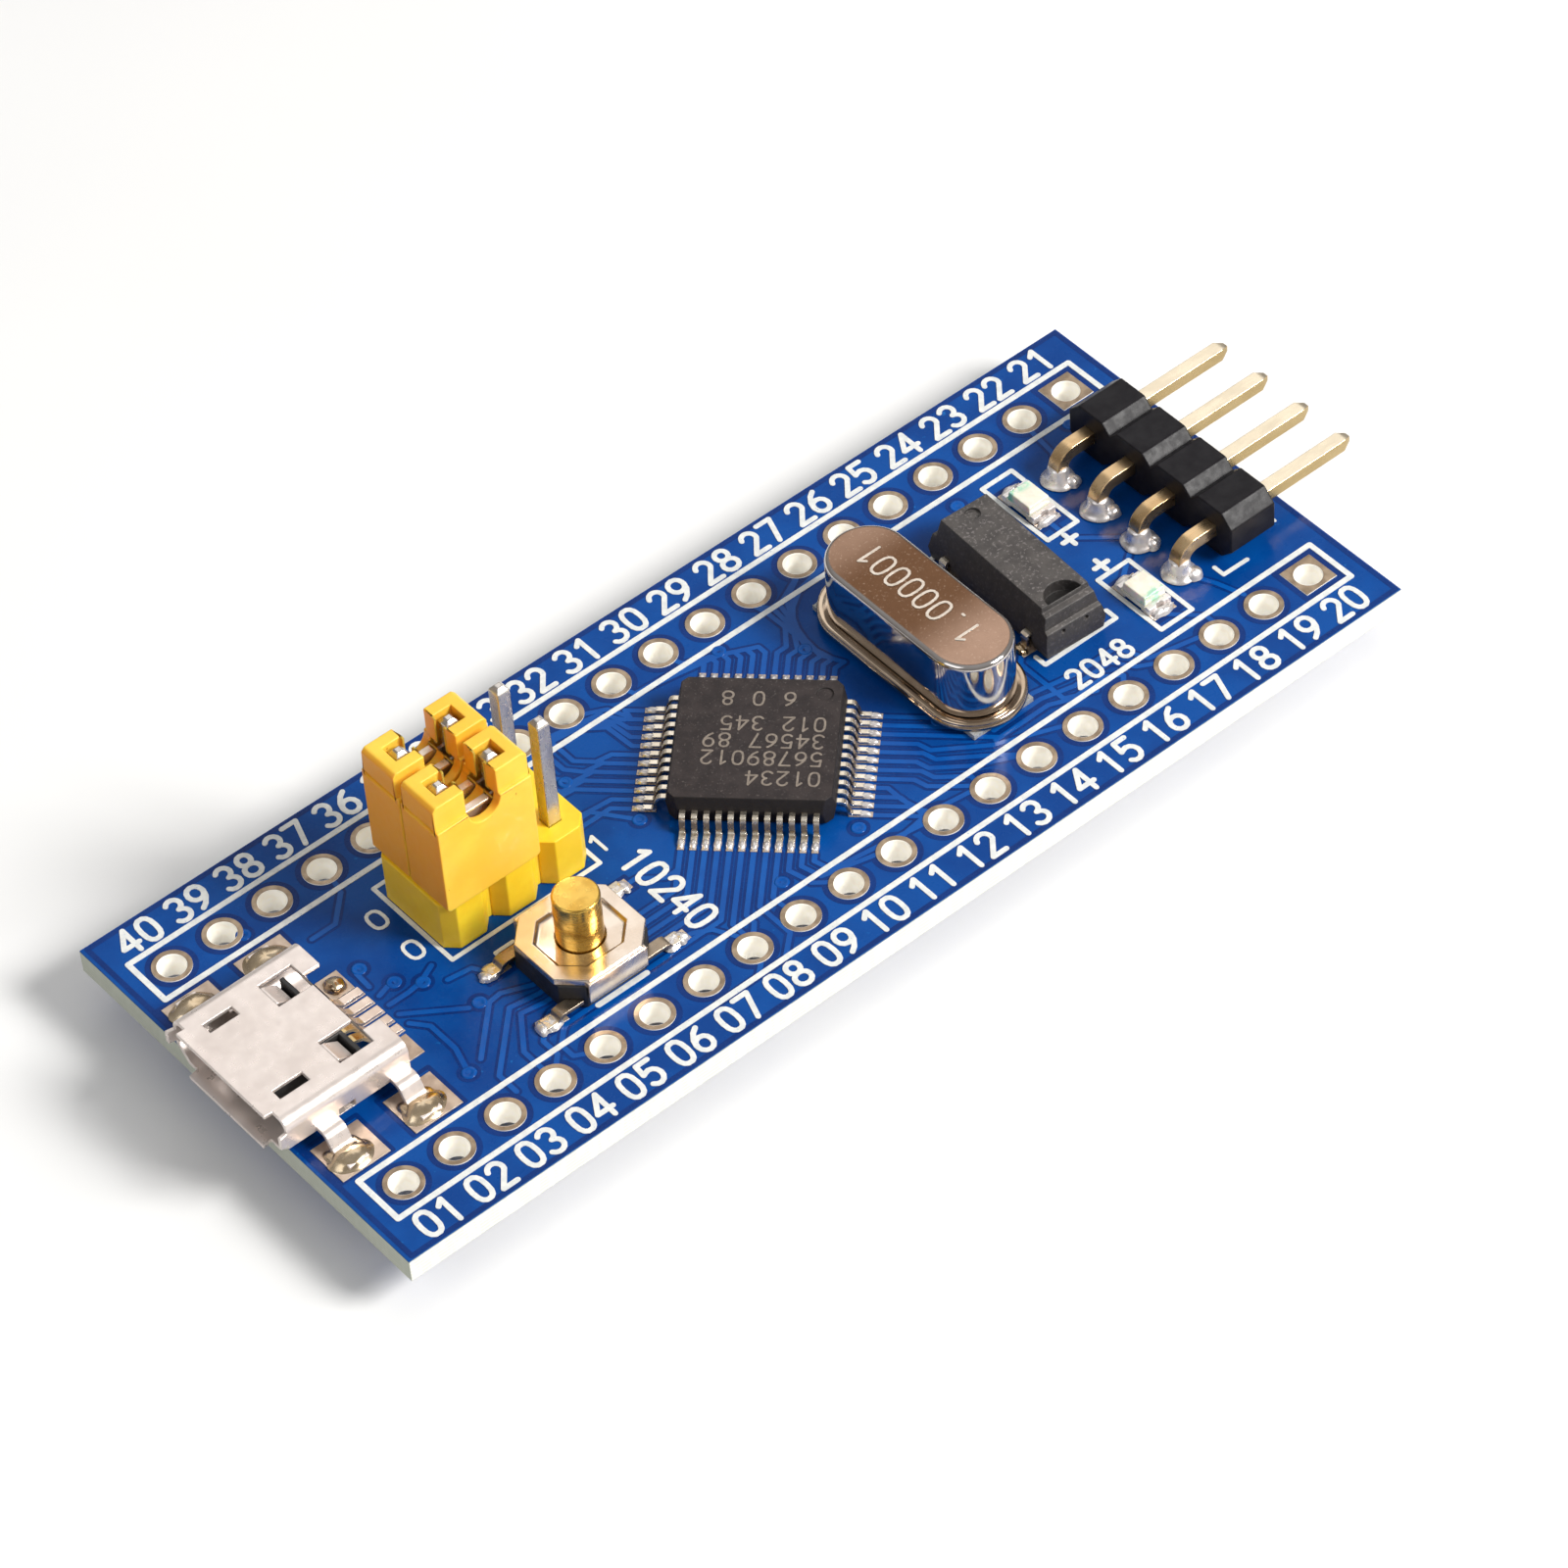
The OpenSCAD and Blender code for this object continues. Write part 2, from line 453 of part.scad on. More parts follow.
// the clip: two spring leaves beside each pin, joined over the middle
module jumper_clip() {
  q = 0.34;       // inner face of a leaf from the pin's middle
  z0 = cap_h - 2.3;
  z1 = cap_h - 1.84;
  for (s = [-1, 1], t = [-1, 1]) {
    box(s * 1.27 - 0.35, s * 1.27 + 0.35, t > 0 ? q : -q - 0.14, t > 0 ? q + 0.14 : -q, 0.8, z0);
    box(s > 0 ? 0.6 : -1.62, s > 0 ? 1.62 : -0.6, t > 0 ? q : -q - 0.14, t > 0 ? q + 0.14 : -q, z0, z1);
  }
  for (t = [-1, 1]) {
    box(-0.6, 0.6, t > 0 ? q : -q - 0.14, t > 0 ? q + 0.14 : -q, z0 - 0.25, z1);
    box(-0.6, 0.6, t > 0 ? q : -q - 0.34, t > 0 ? q + 0.34 : -q, z1, z1 + 0.14);
  }
  box(-0.6, 0.6, -q - 0.14, q + 0.14, z0 - 0.4, z0 - 0.25);
}
cap_x = (boot_x[0] + boot_x[1]) / 2;
module jumper_cap_0() { color("orange") translate([cap_x, boot_y[0] - 0.0, base_h]) jumper_cap(); }
module jumper_clip_0() { color("silver") translate([cap_x, boot_y[0], base_h]) jumper_clip(); }
module jumper_cap_1() { color("orange") translate([cap_x, boot_y[1] + 0.0, base_h]) jumper_cap(); }
module jumper_clip_1() { color("silver") translate([cap_x, boot_y[1], base_h]) jumper_clip(); }

// ---------------------------------------------------------------- reset switch
module reset_switch_base() {
  color("#141414") translate([sw[0], sw[1], 0]) difference() {
    translate([0, 0, pad_t]) linear_extrude(1.28 - pad_t) plan_octagon(4.62, 4.42, 0.8);
    // the well of the dome and the plunger's foot
    translate([0, 0, 0.6]) cylinder(r = 1.95, h = 1);
    // slots of the terminals
    for (s = [-1, 1], y = [-1.85, 1.85]) box(s > 0 ? 1.6 : -2.6, s > 0 ? 2.6 : -1.6, y - 0.31, y + 0.31, 0.3, 0.52);
  }
}
module reset_switch_cover() {
  w = 4.75;
  l = 4.56;
  z = 1.62;       // level of the flat rim
  color("lightgoldenrodyellow") translate([sw[0], sw[1], 0]) difference() {
    union() {
      translate([0, 0, 1.28]) linear_extrude(z - 1.28) plan_octagon(w, l, 1.02);
      // flaps folded down over the two long sides of the base
      for (s = [-1, 1]) box(-1.5, 1.5, s > 0 ? l / 2 + 0.03 : -l / 2 - 0.14, s > 0 ? l / 2 + 0.14 : -l / 2 - 0.03, 0.45, z - 0.08);
      for (s = [-1, 1]) box(-1.5, 1.5, s > 0 ? l / 2 - 0.2 : -l / 2 - 0.14, s > 0 ? l / 2 + 0.14 : -l / 2 + 0.2, 1.28, z - 0.08);
    }
    // the dished middle, with sloped sides
    hull() {
      translate([0, 0, z - 0.17]) linear_extrude(0.01) plan_octagon(w - 1.5, l - 1.66, 0.76);
      translate([0, 0, z + 0.03]) linear_extrude(0.01) plan_octagon(w - 1.1, l - 1.26, 0.86);
    }
    translate([0, 0, 1.27]) cylinder(r = 1.45, h = 0.06);
    translate([0, 0, 1]) cylinder(r = plunger_d / 2 + 0.04, h = 2);
  }
}
module reset_switch_dome() {
  // a shallow spring cap that snaps through under the plunger
  color("silver") translate([sw[0], sw[1], 0.61]) difference() {
    intersection() { translate([0, 0, -5.31]) sphere(r = 5.68, $fn = 96); cylinder(r = 1.88, h = 1); }
    intersection() { translate([0, 0, -5.31]) sphere(r = 5.6, $fn = 96); translate([0, 0, -1]) cylinder(r = 3, h = 3); }
  }
}
module reset_switch_plunger() {
  color("goldenrod") translate([sw[0], sw[1], 0]) {
    translate([0, 0, 1.0]) cylinder(r = 1.35, h = 0.26);
    rotate_extrude() {
      translate([0, 1.0]) square([plunger_d / 2 - 0.1, plunger_top - 1.0]);
      translate([0, 1.0]) square([plunger_d / 2, plunger_top - 1.1]);
      translate([plunger_d / 2 - 0.1, plunger_top - 0.1]) circle(0.1);
    }
  }
}
module reset_switch_terminals() {
  color("tan") translate([sw[0], sw[1], 0]) for (s = [-1, 1], y = [-1.85, 1.85]) translate([0, y, 0]) mirror([s > 0 ? 0 : 1, 0, 0])
    along_y(0.6) ribbon([[1.62, 0.41], [2.62, 0.41], [2.78, 0.36], [2.88, 0.16], [3.0, pad_t + 0.1], [3.5, pad_t + 0.1]], 0.2);
}

// ---------------------------------------------------------------- underside
reg = [-17.6, -1.2];
module regulator_body() {
  z1 = bot - 0.1;
  color("#1c1c1e") translate([reg[0], reg[1], 0]) intersection() {
    along_x(1.65) polygon([[-1.38, z1], [1.38, z1], [1.45, z1 - 0.5], [1.35, z1 - 1.1], [-1.35, z1 - 1.1], [-1.45, z1 - 0.5]]);
    along_y(3) polygon([[-0.75, z1], [0.75, z1], [0.82, z1 - 0.5], [0.72, z1 - 1.1], [-0.72, z1 - 1.1], [-0.82, z1 - 0.5]]);
  }
}
module regulator_leads() {
  z1 = bot - 0.1;
  color("silver") translate([reg[0], reg[1], 0]) for (p = [[1, -0.95], [1, 0], [1, 0.95], [-1, -0.95], [-1, 0.95]])
    translate([0, p[1], 0]) mirror([p[0] > 0 ? 0 : 1, 0, 0])
      along_y(0.38) ribbon([[0.82, z1 - 0.5], [1.02, z1 - 0.5], [1.16, z1 - 0.3], [1.2, bot - pad_t - 0.07], [1.5, bot - pad_t - 0.07]], 0.13);
}
// chip parts lie in two banks between the rows: [x, y, turned along Y]
caps = [[-21.5, 3.6, 1], [-21.5, 0.4, 1], [-21.5, -3.2, 1], [-13.6, -2.4, 0], [-10.2, -2.4, 0], [-5.2, 3.9, 1], [-5.2, -3.9, 1],
  [5.2, 3.9, 1], [5.2, -3.9, 1], [12.4, 4.4, 0], [12.4, -4.4, 0], [16.2, 1.2, 1]];
resistors = [[-6.9, 0, 1], [-13.6, -4.6, 0], [-10.2, -4.6, 0], [-2.4, 4.6, 0], [2.4, 4.6, 0], [-2.4, -4.6, 0], [2.4, -4.6, 0],
  [12.4, 0.8, 0], [12.4, -0.8, 0], [17.9, 4.4, 1], [17.9, -4.4, 1], [-24, 2, 1]];
module chip_capacitors() {
  color("peru") for (c = caps) translate([c[0], c[1], bot - pad_t - 0.03]) rotate(c[2] * 90)
    translate([-0.52, -0.4, -0.78]) cube([1.04, 0.8, 0.78]);
}
module chip_resistors() {
  color("#1a1a1a") for (c = resistors) translate([c[0], c[1], bot - pad_t - 0.03]) rotate(c[2] * 90)
    translate([-0.55, -0.4, -0.42]) cube([1.1, 0.8, 0.42]);
}
module chip_end_caps() {
  color("silver") {
    for (c = caps) translate([c[0], c[1], bot]) rotate(c[2] * 90) for (s = [-1, 1])
      box(s > 0 ? 0.52 : -0.82, s > 0 ? 0.82 : -0.52, -0.41, 0.41, -0.87, 0);
    for (c = resistors) translate([c[0], c[1], bot]) rotate(c[2] * 90) for (s = [-1, 1])
      box(s > 0 ? 0.55 : -0.82, s > 0 ? 0.82 : -0.55, -0.41, 0.41, -0.5, 0);
  }
}

// ---------------------------------------------------------------- solder
// a fillet round a pin, from the board's face down (or up, when up is true)
module fillet_cone(r0, r1, h, up) {
  mirror([0, 0, up ? 0 : 1]) rotate_extrude() polygon([[0, 0], [r0, 0], [r0 * 0.95, 0.08], [(r0 + r1) * 0.48, h * 0.45], [r1, h], [0, h]]);
}
module solder_joints() {
  color("lightgray") {
    for (y = swd_y) translate([swd_x, y, 0]) difference() {
      union() {
        fillet_cone(0.85, 0.46, 0.6, true);
        translate([0, 0, bot]) fillet_cone(0.85, 0.46, 0.9, false);
        translate([0, 0, bot]) cylinder(r = 0.49, h = board_t);
      }
      box(-pin_sq / 2, pin_sq / 2, -pin_sq / 2, pin_sq / 2, -4, 4);
    }
    for (x = boot_x, y = boot_y) translate([x, y, 0]) difference() {
      union() {
        translate([0, 0, bot]) fillet_cone(0.85, 0.46, 0.9, false);
        translate([0, 0, bot]) cylinder(r = 0.49, h = board_t);
      }
      box(-pin_sq / 2, pin_sq / 2, -pin_sq / 2, pin_sq / 2, -4, 4);
    }
    for (s = [-1, 1]) translate([can_x, s * lead_gap / 2, 0]) difference() {
      union() {
        translate([0, 0, bot]) fillet_cone(0.8, 0.3, 0.7, false);
        translate([0, 0, bot]) cylinder(r = 0.34, h = board_t);
      }
      translate([0, 0, -4]) cylinder(r = 0.225, h = 8);
    }
    // domes at the outer ends of the receptacle's legs
    for (s = [-1, 1], x = [usb_x0 + 2.25, usb_x1 - 0.56]) translate([x, s * 5.15, pad_t]) difference() {
      intersection() { translate([0, 0, -1.2]) sphere(r = 1.55, $fn = 48); cylinder(r = 0.98, h = 1); }
      mirror([0, s > 0 ? 0 : 1, 0]) box(-0.51, 0.51, -1.3, 0.61, -1, 0.23);
      box(-0.51, 0.51, s > 0 ? -1.5 : 0.05, s > 0 ? -0.05 : 1.5, -1, 2);
    }
  }
}

circuit_board();
plated_holes();
surface_pads();
usb_shell();
usb_insulator();
usb_contacts();
mcu_package();
mcu_leads();
crystal_can();
crystal_base();
crystal_spacer();
crystal_glass_seals();
crystal_leads();
quartz_blank();
watch_crystal_body();
watch_crystal_capsule();
watch_crystal_leads();
led_power_substrate();
led_power_lens();
led_user_substrate();
led_user_lens();
led_terminals();
swd_header_housing();
swd_header_pins();
boot_header_base();
boot_header_pins();
jumper_cap_0();
jumper_clip_0();
jumper_cap_1();
jumper_clip_1();
reset_switch_base();
reset_switch_cover();
reset_switch_dome();
reset_switch_plunger();
reset_switch_terminals();
regulator_body();
regulator_leads();
chip_capacitors();
chip_resistors();
chip_end_caps();
solder_joints();
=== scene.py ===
"""Looks of a narrow blue microcontroller board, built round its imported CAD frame. Lengths in the helpers are in millimetres."""
import bpy
import bmesh
import json
import math
import random
from mathutils import Matrix, Vector, noise
from mathutils.geometry import delaunay_2d_cdt

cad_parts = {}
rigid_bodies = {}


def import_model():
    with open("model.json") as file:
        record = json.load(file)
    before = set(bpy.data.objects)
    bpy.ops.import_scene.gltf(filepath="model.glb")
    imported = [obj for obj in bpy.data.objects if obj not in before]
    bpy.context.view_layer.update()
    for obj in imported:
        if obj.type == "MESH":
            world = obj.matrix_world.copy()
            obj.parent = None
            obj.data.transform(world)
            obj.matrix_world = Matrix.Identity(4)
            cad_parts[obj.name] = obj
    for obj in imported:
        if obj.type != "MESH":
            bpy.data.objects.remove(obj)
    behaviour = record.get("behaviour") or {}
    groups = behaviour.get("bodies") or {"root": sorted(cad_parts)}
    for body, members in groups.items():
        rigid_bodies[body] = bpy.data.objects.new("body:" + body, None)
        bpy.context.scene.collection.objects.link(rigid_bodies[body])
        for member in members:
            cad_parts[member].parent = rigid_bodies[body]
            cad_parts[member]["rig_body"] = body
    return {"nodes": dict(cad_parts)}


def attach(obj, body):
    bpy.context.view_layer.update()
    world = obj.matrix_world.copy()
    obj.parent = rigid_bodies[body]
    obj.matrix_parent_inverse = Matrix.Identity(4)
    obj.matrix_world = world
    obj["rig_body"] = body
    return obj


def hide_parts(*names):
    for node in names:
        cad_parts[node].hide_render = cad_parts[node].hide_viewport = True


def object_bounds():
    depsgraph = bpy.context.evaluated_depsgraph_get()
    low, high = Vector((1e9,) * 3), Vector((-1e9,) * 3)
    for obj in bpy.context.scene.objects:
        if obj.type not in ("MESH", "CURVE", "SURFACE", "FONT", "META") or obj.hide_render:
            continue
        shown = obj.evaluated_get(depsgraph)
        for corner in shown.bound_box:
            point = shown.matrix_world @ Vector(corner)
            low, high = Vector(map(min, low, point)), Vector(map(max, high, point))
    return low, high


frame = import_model()
CAD_LO, CAD_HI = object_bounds()
NODES = frame["nodes"]
MM = 0.001
random.seed(7)

# ---------------------------------------------------------------- places shared with the frame
PITCH = 2.54
ROW_Y = 7.62
HOLE_X = [(i - 9.5) * PITCH for i in range(20)]
BOARD_T = 1.2
BOT = -BOARD_T
HALF_L, HALF_W = 26.4, 10.85
MCU_X = 0.33
CAN_X = 9.27
CAN_TOP = 3.6
WATCH_X = 14.55
SWD_X = 20.3
SWD_Y = [-3.81, -1.27, 1.27, 3.81]
BOOT_X = [-14.3, -11.76, -9.22]
BOOT_Y = [1.48, 4.02]
SW = (-11.68, -3.36)
LEDS = [(18.3, 3.45), (18.25, -3.85)]


# ---------------------------------------------------------------- materials
def _ramp(nt, fac, lo, hi, a, b, smooth=True):
    m = nt.nodes.new("ShaderNodeMapRange")
    if smooth:
        m.interpolation_type = "SMOOTHSTEP"
    m.inputs["From Min"].default_value = lo
    m.inputs["From Max"].default_value = hi
    m.inputs["To Min"].default_value = a
    m.inputs["To Max"].default_value = b
    nt.links.new(fac, m.inputs["Value"])
    return m.outputs["Result"]


def _mix(nt, fac, a, b):
    m = nt.nodes.new("ShaderNodeMix")
    m.data_type = "RGBA"
    m.clamp_factor = True
    if isinstance(fac, (int, float)):
        m.inputs[0].default_value = fac
    else:
        nt.links.new(fac, m.inputs[0])
    for sock, v in ((m.inputs[6], a), (m.inputs[7], b)):
        if isinstance(v, (tuple, list)):
            sock.default_value = (v[0], v[1], v[2], 1)
        else:
            nt.links.new(v, sock)
    return m.outputs[2]


def _noise(nt, co, scale, detail=4.0, rough=0.55, distort=0.0):
    n = nt.nodes.new("ShaderNodeTexNoise")
    n.inputs["Scale"].default_value = scale
    n.inputs["Detail"].default_value = detail
    n.inputs["Roughness"].default_value = rough
    n.inputs["Distortion"].default_value = distort
    nt.links.new(co, n.inputs["Vector"])
    return n.outputs["Fac"]


def _math(nt, op, a, b=None):
    m = nt.nodes.new("ShaderNodeMath")
    m.operation = op
    for i, v in enumerate((a, b)):
        if v is None:
            continue
        if isinstance(v, (int, float)):
            m.inputs[i].default_value = v
        else:
            nt.links.new(v, m.inputs[i])
    return m.outputs[0]


def _stretch(nt, co, sx, sy, sz):
    m = nt.nodes.new("ShaderNodeMapping")
    m.inputs["Scale"].default_value = (sx, sy, sz)
    nt.links.new(co, m.inputs["Vector"])
    return m.outputs["Vector"]


class Mat:
    """A procedural surface. Scales are in features per metre, so 1000 is one per millimetre."""

    def __init__(self, name, a, b=None, blotch=900, blotch_range=(0.35, 0.65), metallic=0.0, rough=(0.3, 0.45), rough_scale=2500,
                 bump=0.004, bump_scale=6000, bump_strength=0.25, edge=None, edge_amount=0.6, bevel=0.03, stretch=(1, 1, 1),
                 speck=None, speck_scale=5000, speck_level=0.7, coat=0.0, coat_rough=0.1, spec=0.5, ior=1.5, sub=0.0, sub_radius=(1, 0.5, 0.2),
                 sub_scale=0.3, transmission=0.0, scratch=0.0, scratch_dir=(1, 12, 1), aniso=0.0):
        m = bpy.data.materials.new(name)
        m.use_nodes = True
        nt = m.node_tree
        nt.nodes.clear()
        out = nt.nodes.new("ShaderNodeOutputMaterial")
        p = nt.nodes.new("ShaderNodeBsdfPrincipled")
        nt.links.new(p.outputs[0], out.inputs[0])
        self.m, self.nt, self.p = m, nt, p
        tc = nt.nodes.new("ShaderNodeTexCoord")
        self.co = tc.outputs["Object"]
        geo = nt.nodes.new("ShaderNodeNewGeometry")
        self.geo = geo
        sep = nt.nodes.new("ShaderNodeSeparateXYZ")
        nt.links.new(geo.outputs["Normal"], sep.inputs[0])
        self.nz = sep.outputs[2]
        co = self.co if stretch == (1, 1, 1) else _stretch(nt, self.co, *stretch)
        b = b or tuple(c * 0.8 for c in a)
        col = _mix(nt, _ramp(nt, _noise(nt, co, blotch), blotch_range[0], blotch_range[1], 0, 1), a, b)
        if speck:
            f = _ramp(nt, _noise(nt, co, speck_scale, 2.0), speck_level, speck_level + 0.08, 0, 1)
            col = _mix(nt, f, col, speck)
        bev = nt.nodes.new("ShaderNodeBevel")
        bev.samples = 4
        bev.inputs["Radius"].default_value = bevel * MM
        # edge: a lighter colour painted along the rounded edges, a painted highlight where they catch the light
        if edge:
            d = nt.nodes.new("ShaderNodeVectorMath")
            d.operation = "DOT_PRODUCT"
            nt.links.new(bev.outputs[0], d.inputs[0])
            nt.links.new(geo.outputs["Normal"], d.inputs[1])
            f = _ramp(nt, d.outputs["Value"], 0.97, 0.75, 0, edge_amount)
            f = _math(nt, "MULTIPLY", f, _ramp(nt, _noise(nt, co, 3200, 3.0), 0.3, 0.7, 0.35, 1.0))
            col = _mix(nt, f, col, edge)
        self.color = col
        rn = _noise(nt, co, rough_scale, 5.0)
        r = _ramp(nt, rn, 0.3, 0.7, rough[0], rough[1])
        h = _noise(nt, co, bump_scale, 5.0, 0.6)
        if scratch:
            sc = _noise(nt, _stretch(nt, self.co, *scratch_dir), 2600, 3.0, 0.7)
            line = _ramp(nt, sc, 0.66, 0.72, 0, 1)
            r = _math(nt, "ADD", r, _math(nt, "MULTIPLY", line, 0.25 * scratch))
            h = _math(nt, "SUBTRACT", h, _math(nt, "MULTIPLY", line, 0.6 * scratch))
            self.scratch_line = line
        self.rough = r
        bp = nt.nodes.new("ShaderNodeBump")
        bp.inputs["Strength"].default_value = bump_strength
        bp.inputs["Distance"].default_value = bump * MM
        nt.links.new(h, bp.inputs["Height"])
        nt.links.new(bev.outputs[0], bp.inputs["Normal"])
        self.height, self.bump = h, bp
        nt.links.new(bp.outputs[0], p.inputs["Normal"])
        nt.links.new(col, p.inputs["Base Color"])
        nt.links.new(r, p.inputs["Roughness"])
        p.inputs["Metallic"].default_value = metallic
        p.inputs["Specular IOR Level"].default_value = spec
        p.inputs["IOR"].default_value = ior
        p.inputs["Anisotropic"].default_value = aniso
        if coat:
            p.inputs["Coat Weight"].default_value = coat
            p.inputs["Coat Roughness"].default_value = coat_rough
        if sub:
            p.inputs["Subsurface Weight"].default_value = sub
            p.inputs["Subsurface Radius"].default_value = sub_radius
            p.inputs["Subsurface Scale"].default_value = sub_scale * MM
        if transmission:
            p.inputs["Transmission Weight"].default_value = transmission

    def set_color(self, sock):
        self.color = sock
        self.nt.links.new(sock, self.p.inputs["Base Color"])

    def set_rough(self, sock):
        self.rough = sock
        self.nt.links.new(sock, self.p.inputs["Roughness"])

    def axis(self, i):
        s = self.nt.nodes.new("ShaderNodeSeparateXYZ")
        self.nt.links.new(self.co, s.inputs[0])
        return s.outputs[i]


MATS = {}


def mat(key, *a, **k):
    MATS[key] = Mat(key, *a, **k)
    return MATS[key]


# solder mask over copper, with the cut laminate on the board's edges
MASK_A = (0.001, 0.066, 0.300)
MASK_B = (0.0005, 0.045, 0.230)
b = mat("board_mask", MASK_A, MASK_B, blotch=260, rough=(0.20, 0.34), rough_scale=900, bump=0.006, bump_scale=5200, bump_strength=0.16,
        coat=0.05, coat_rough=0.10, spec=0.09, speck=(0.006, 0.125, 0.41), speck_scale=2600, speck_level=0.70, bevel=0.02)
face = _ramp(b.nt, _math(b.nt, "ABSOLUTE", b.nz), 0.45, 0.55, 0, 1)
layers = b.nt.nodes.new("ShaderNodeTexWave")
layers.bands_direction = "Z"
layers.inputs["Scale"].default_value = 1700
layers.inputs["Distortion"].default_value = 1.6
layers.inputs["Detail"].default_value = 3
b.nt.links.new(b.co, layers.inputs["Vector"])
fibre = _mix(b.nt, _ramp(b.nt, layers.outputs["Fac"], 0.2, 0.8, 0, 1), (0.80, 0.80, 0.75), (0.68, 0.68, 0.62))
fibre = _mix(b.nt, _ramp(b.nt, _noise(b.nt, _stretch(b.nt, b.co, 1, 1, 0.2), 4200, 4.0), 0.42, 0.62, 0, 0.6), fibre, (0.86, 0.86, 0.82))
# the -X end face painted darker grey-green: painted shade on the side away from the key light
fibre = _mix(b.nt, _ramp(b.nt, b.axis(0), -0.02640, -0.02636, 0.75, 0), fibre, (0.36, 0.39, 0.31))
rim = _ramp(b.nt, b.axis(2), -0.00010, -0.00002, 0, 1)
fibre = _mix(b.nt, rim, fibre, (0.03, 0.10, 0.22))
b.set_color(_mix(b.nt, face, fibre, b.color))
b.set_rough(_math(b.nt, "ADD", b.rough, _math(b.nt, "MULTIPLY", _math(b.nt, "SUBTRACT", 1.0, face), 0.4)))

mat("mask_copper", (0.002, 0.086, 0.37), (0.0015, 0.068, 0.315), blotch=500, rough=(0.14, 0.26), bump=0.004, bump_scale=6000, bump_strength=0.15, coat=0.06, coat_rough=0.10, spec=0.14, bevel=0.012)
mat("mask_gap", (0.001, 0.024, 0.145), (0.001, 0.031, 0.178), blotch=700, rough=(0.2, 0.34), bump=0.004, bump_strength=0.2, coat=0.05, coat_rough=0.1, spec=0.11, bevel=0.004)
mat("mask_gap_soft", (0.001, 0.038, 0.205), (0.001, 0.030, 0.165), blotch=700, rough=(0.2, 0.32), bump=0.004, bump_strength=0.2, coat=0.10, coat_rough=0.1, spec=0.2, bevel=0.004)
mat("silk", (0.80, 0.81, 0.78), (0.68, 0.70, 0.69), blotch=2600, rough=(0.45, 0.62), bump=0.006, bump_scale=9000, bump_strength=0.5, speck=(0.42, 0.50, 0.62), speck_scale=9000, speck_level=0.66, bevel=0.01)

# pads and plated holes: dull warm rings; the barrels painted pale and made to glow, painted light standing in for light
# coming up through the holes
b = mat("tinned_copper", (0.43, 0.325, 0.225), (0.26, 0.190, 0.128), blotch=1500, metallic=0.6, rough=(0.30, 0.46), bump=0.006, bump_scale=7000, bump_strength=0.4, edge=(0.72, 0.64, 0.52), edge_amount=0.7, bevel=0.03)
wall = _ramp(b.nt, _math(b.nt, "ABSOLUTE", b.nz), 0.80, 0.94, 1, 0)
pale_lit_barrel = _mix(b.nt, _ramp(b.nt, _noise(b.nt, b.co, 1900, 3.0), 0.35, 0.65, 0, 1), (0.90, 0.87, 0.80), (0.80, 0.77, 0.69))
b.set_color(_mix(b.nt, wall, b.color, pale_lit_barrel))
b.nt.links.new(_math(b.nt, "MULTIPLY", _math(b.nt, "SUBTRACT", 1.0, wall), 0.6), b.p.inputs["Metallic"])
# the barrel walls glow through emission: painted light, though no lamp is there
b.nt.links.new(b.color, b.p.inputs["Emission Color"])
b.nt.links.new(_math(b.nt, "MULTIPLY", wall, 0.22), b.p.inputs["Emission Strength"])

b = mat("pad_tin", (0.60, 0.48, 0.38), (0.46, 0.35, 0.27), blotch=1500, metallic=0.5, rough=(0.28, 0.42), bump=0.01, bump_scale=3500, bump_strength=0.5, edge=(0.8, 0.74, 0.62), bevel=0.03)
mat("shell_steel", (0.82, 0.735, 0.685), (0.75, 0.665, 0.615), blotch=420, metallic=0.6, rough=(0.26, 0.38), rough_scale=1800, bump=0.004, bump_scale=9000, bump_strength=0.25, edge=(0.93, 0.90, 0.86), edge_amount=0.8,
    bevel=0.06, scratch=0.5, scratch_dir=(0.10, 3.4, 1))
mat("black_plastic", (0.018, 0.018, 0.019), (0.030, 0.029, 0.029), rough=(0.42, 0.55), bump=0.006, bump_strength=0.3, edge=(0.12, 0.12, 0.12), bevel=0.05)
b = mat("contact_gold", (0.80, 0.60, 0.30), (0.70, 0.50, 0.22), metallic=0.8, rough=(0.24, 0.38), edge=(0.95, 0.85, 0.6), bevel=0.03)
tail = _ramp(b.nt, b.axis(0), -0.0212, -0.0206, 0, 1)
b.set_color(_mix(b.nt, tail, b.color, (0.84, 0.70, 0.60)))
b = mat("epoxy_package", (0.040, 0.031, 0.030), (0.027, 0.021, 0.021), blotch=1500, rough=(0.50, 0.64), rough_scale=5000, bump=0.010, bump_scale=11000, bump_strength=0.55, speck=(0.085, 0.072, 0.068), speck_scale=11000, speck_level=0.62,
        edge=(0.15, 0.13, 0.12), edge_amount=0.5, bevel=0.05, spec=0.30)
# the package's vertical sides painted darker: painted shade
side = _ramp(b.nt, _math(b.nt, "ABSOLUTE", b.nz), 0.90, 0.975, 1, 0)
b.set_color(_mix(b.nt, _math(b.nt, "MULTIPLY", side, 0.8), b.color, (0.012, 0.010, 0.009)))
mat("epoxy_polished", (0.030, 0.026, 0.025), (0.024, 0.021, 0.020), rough=(0.30, 0.40), bump=0.004, bump_strength=0.3, bevel=0.02)
mat("laser_mark", (0.27, 0.225, 0.185), (0.185, 0.152, 0.125), blotch=5200, rough=(0.55, 0.7), bump=0.006, bump_scale=12000, bump_strength=0.7, bevel=0.006)
b = mat("lead_tin", (0.86, 0.78, 0.66), (0.74, 0.65, 0.52), blotch=2200, metallic=0.95, rough=(0.20, 0.34), bump=0.006, bump_scale=5000, bump_strength=0.35, edge=(0.93, 0.90, 0.83), edge_amount=0.7, bevel=0.04)
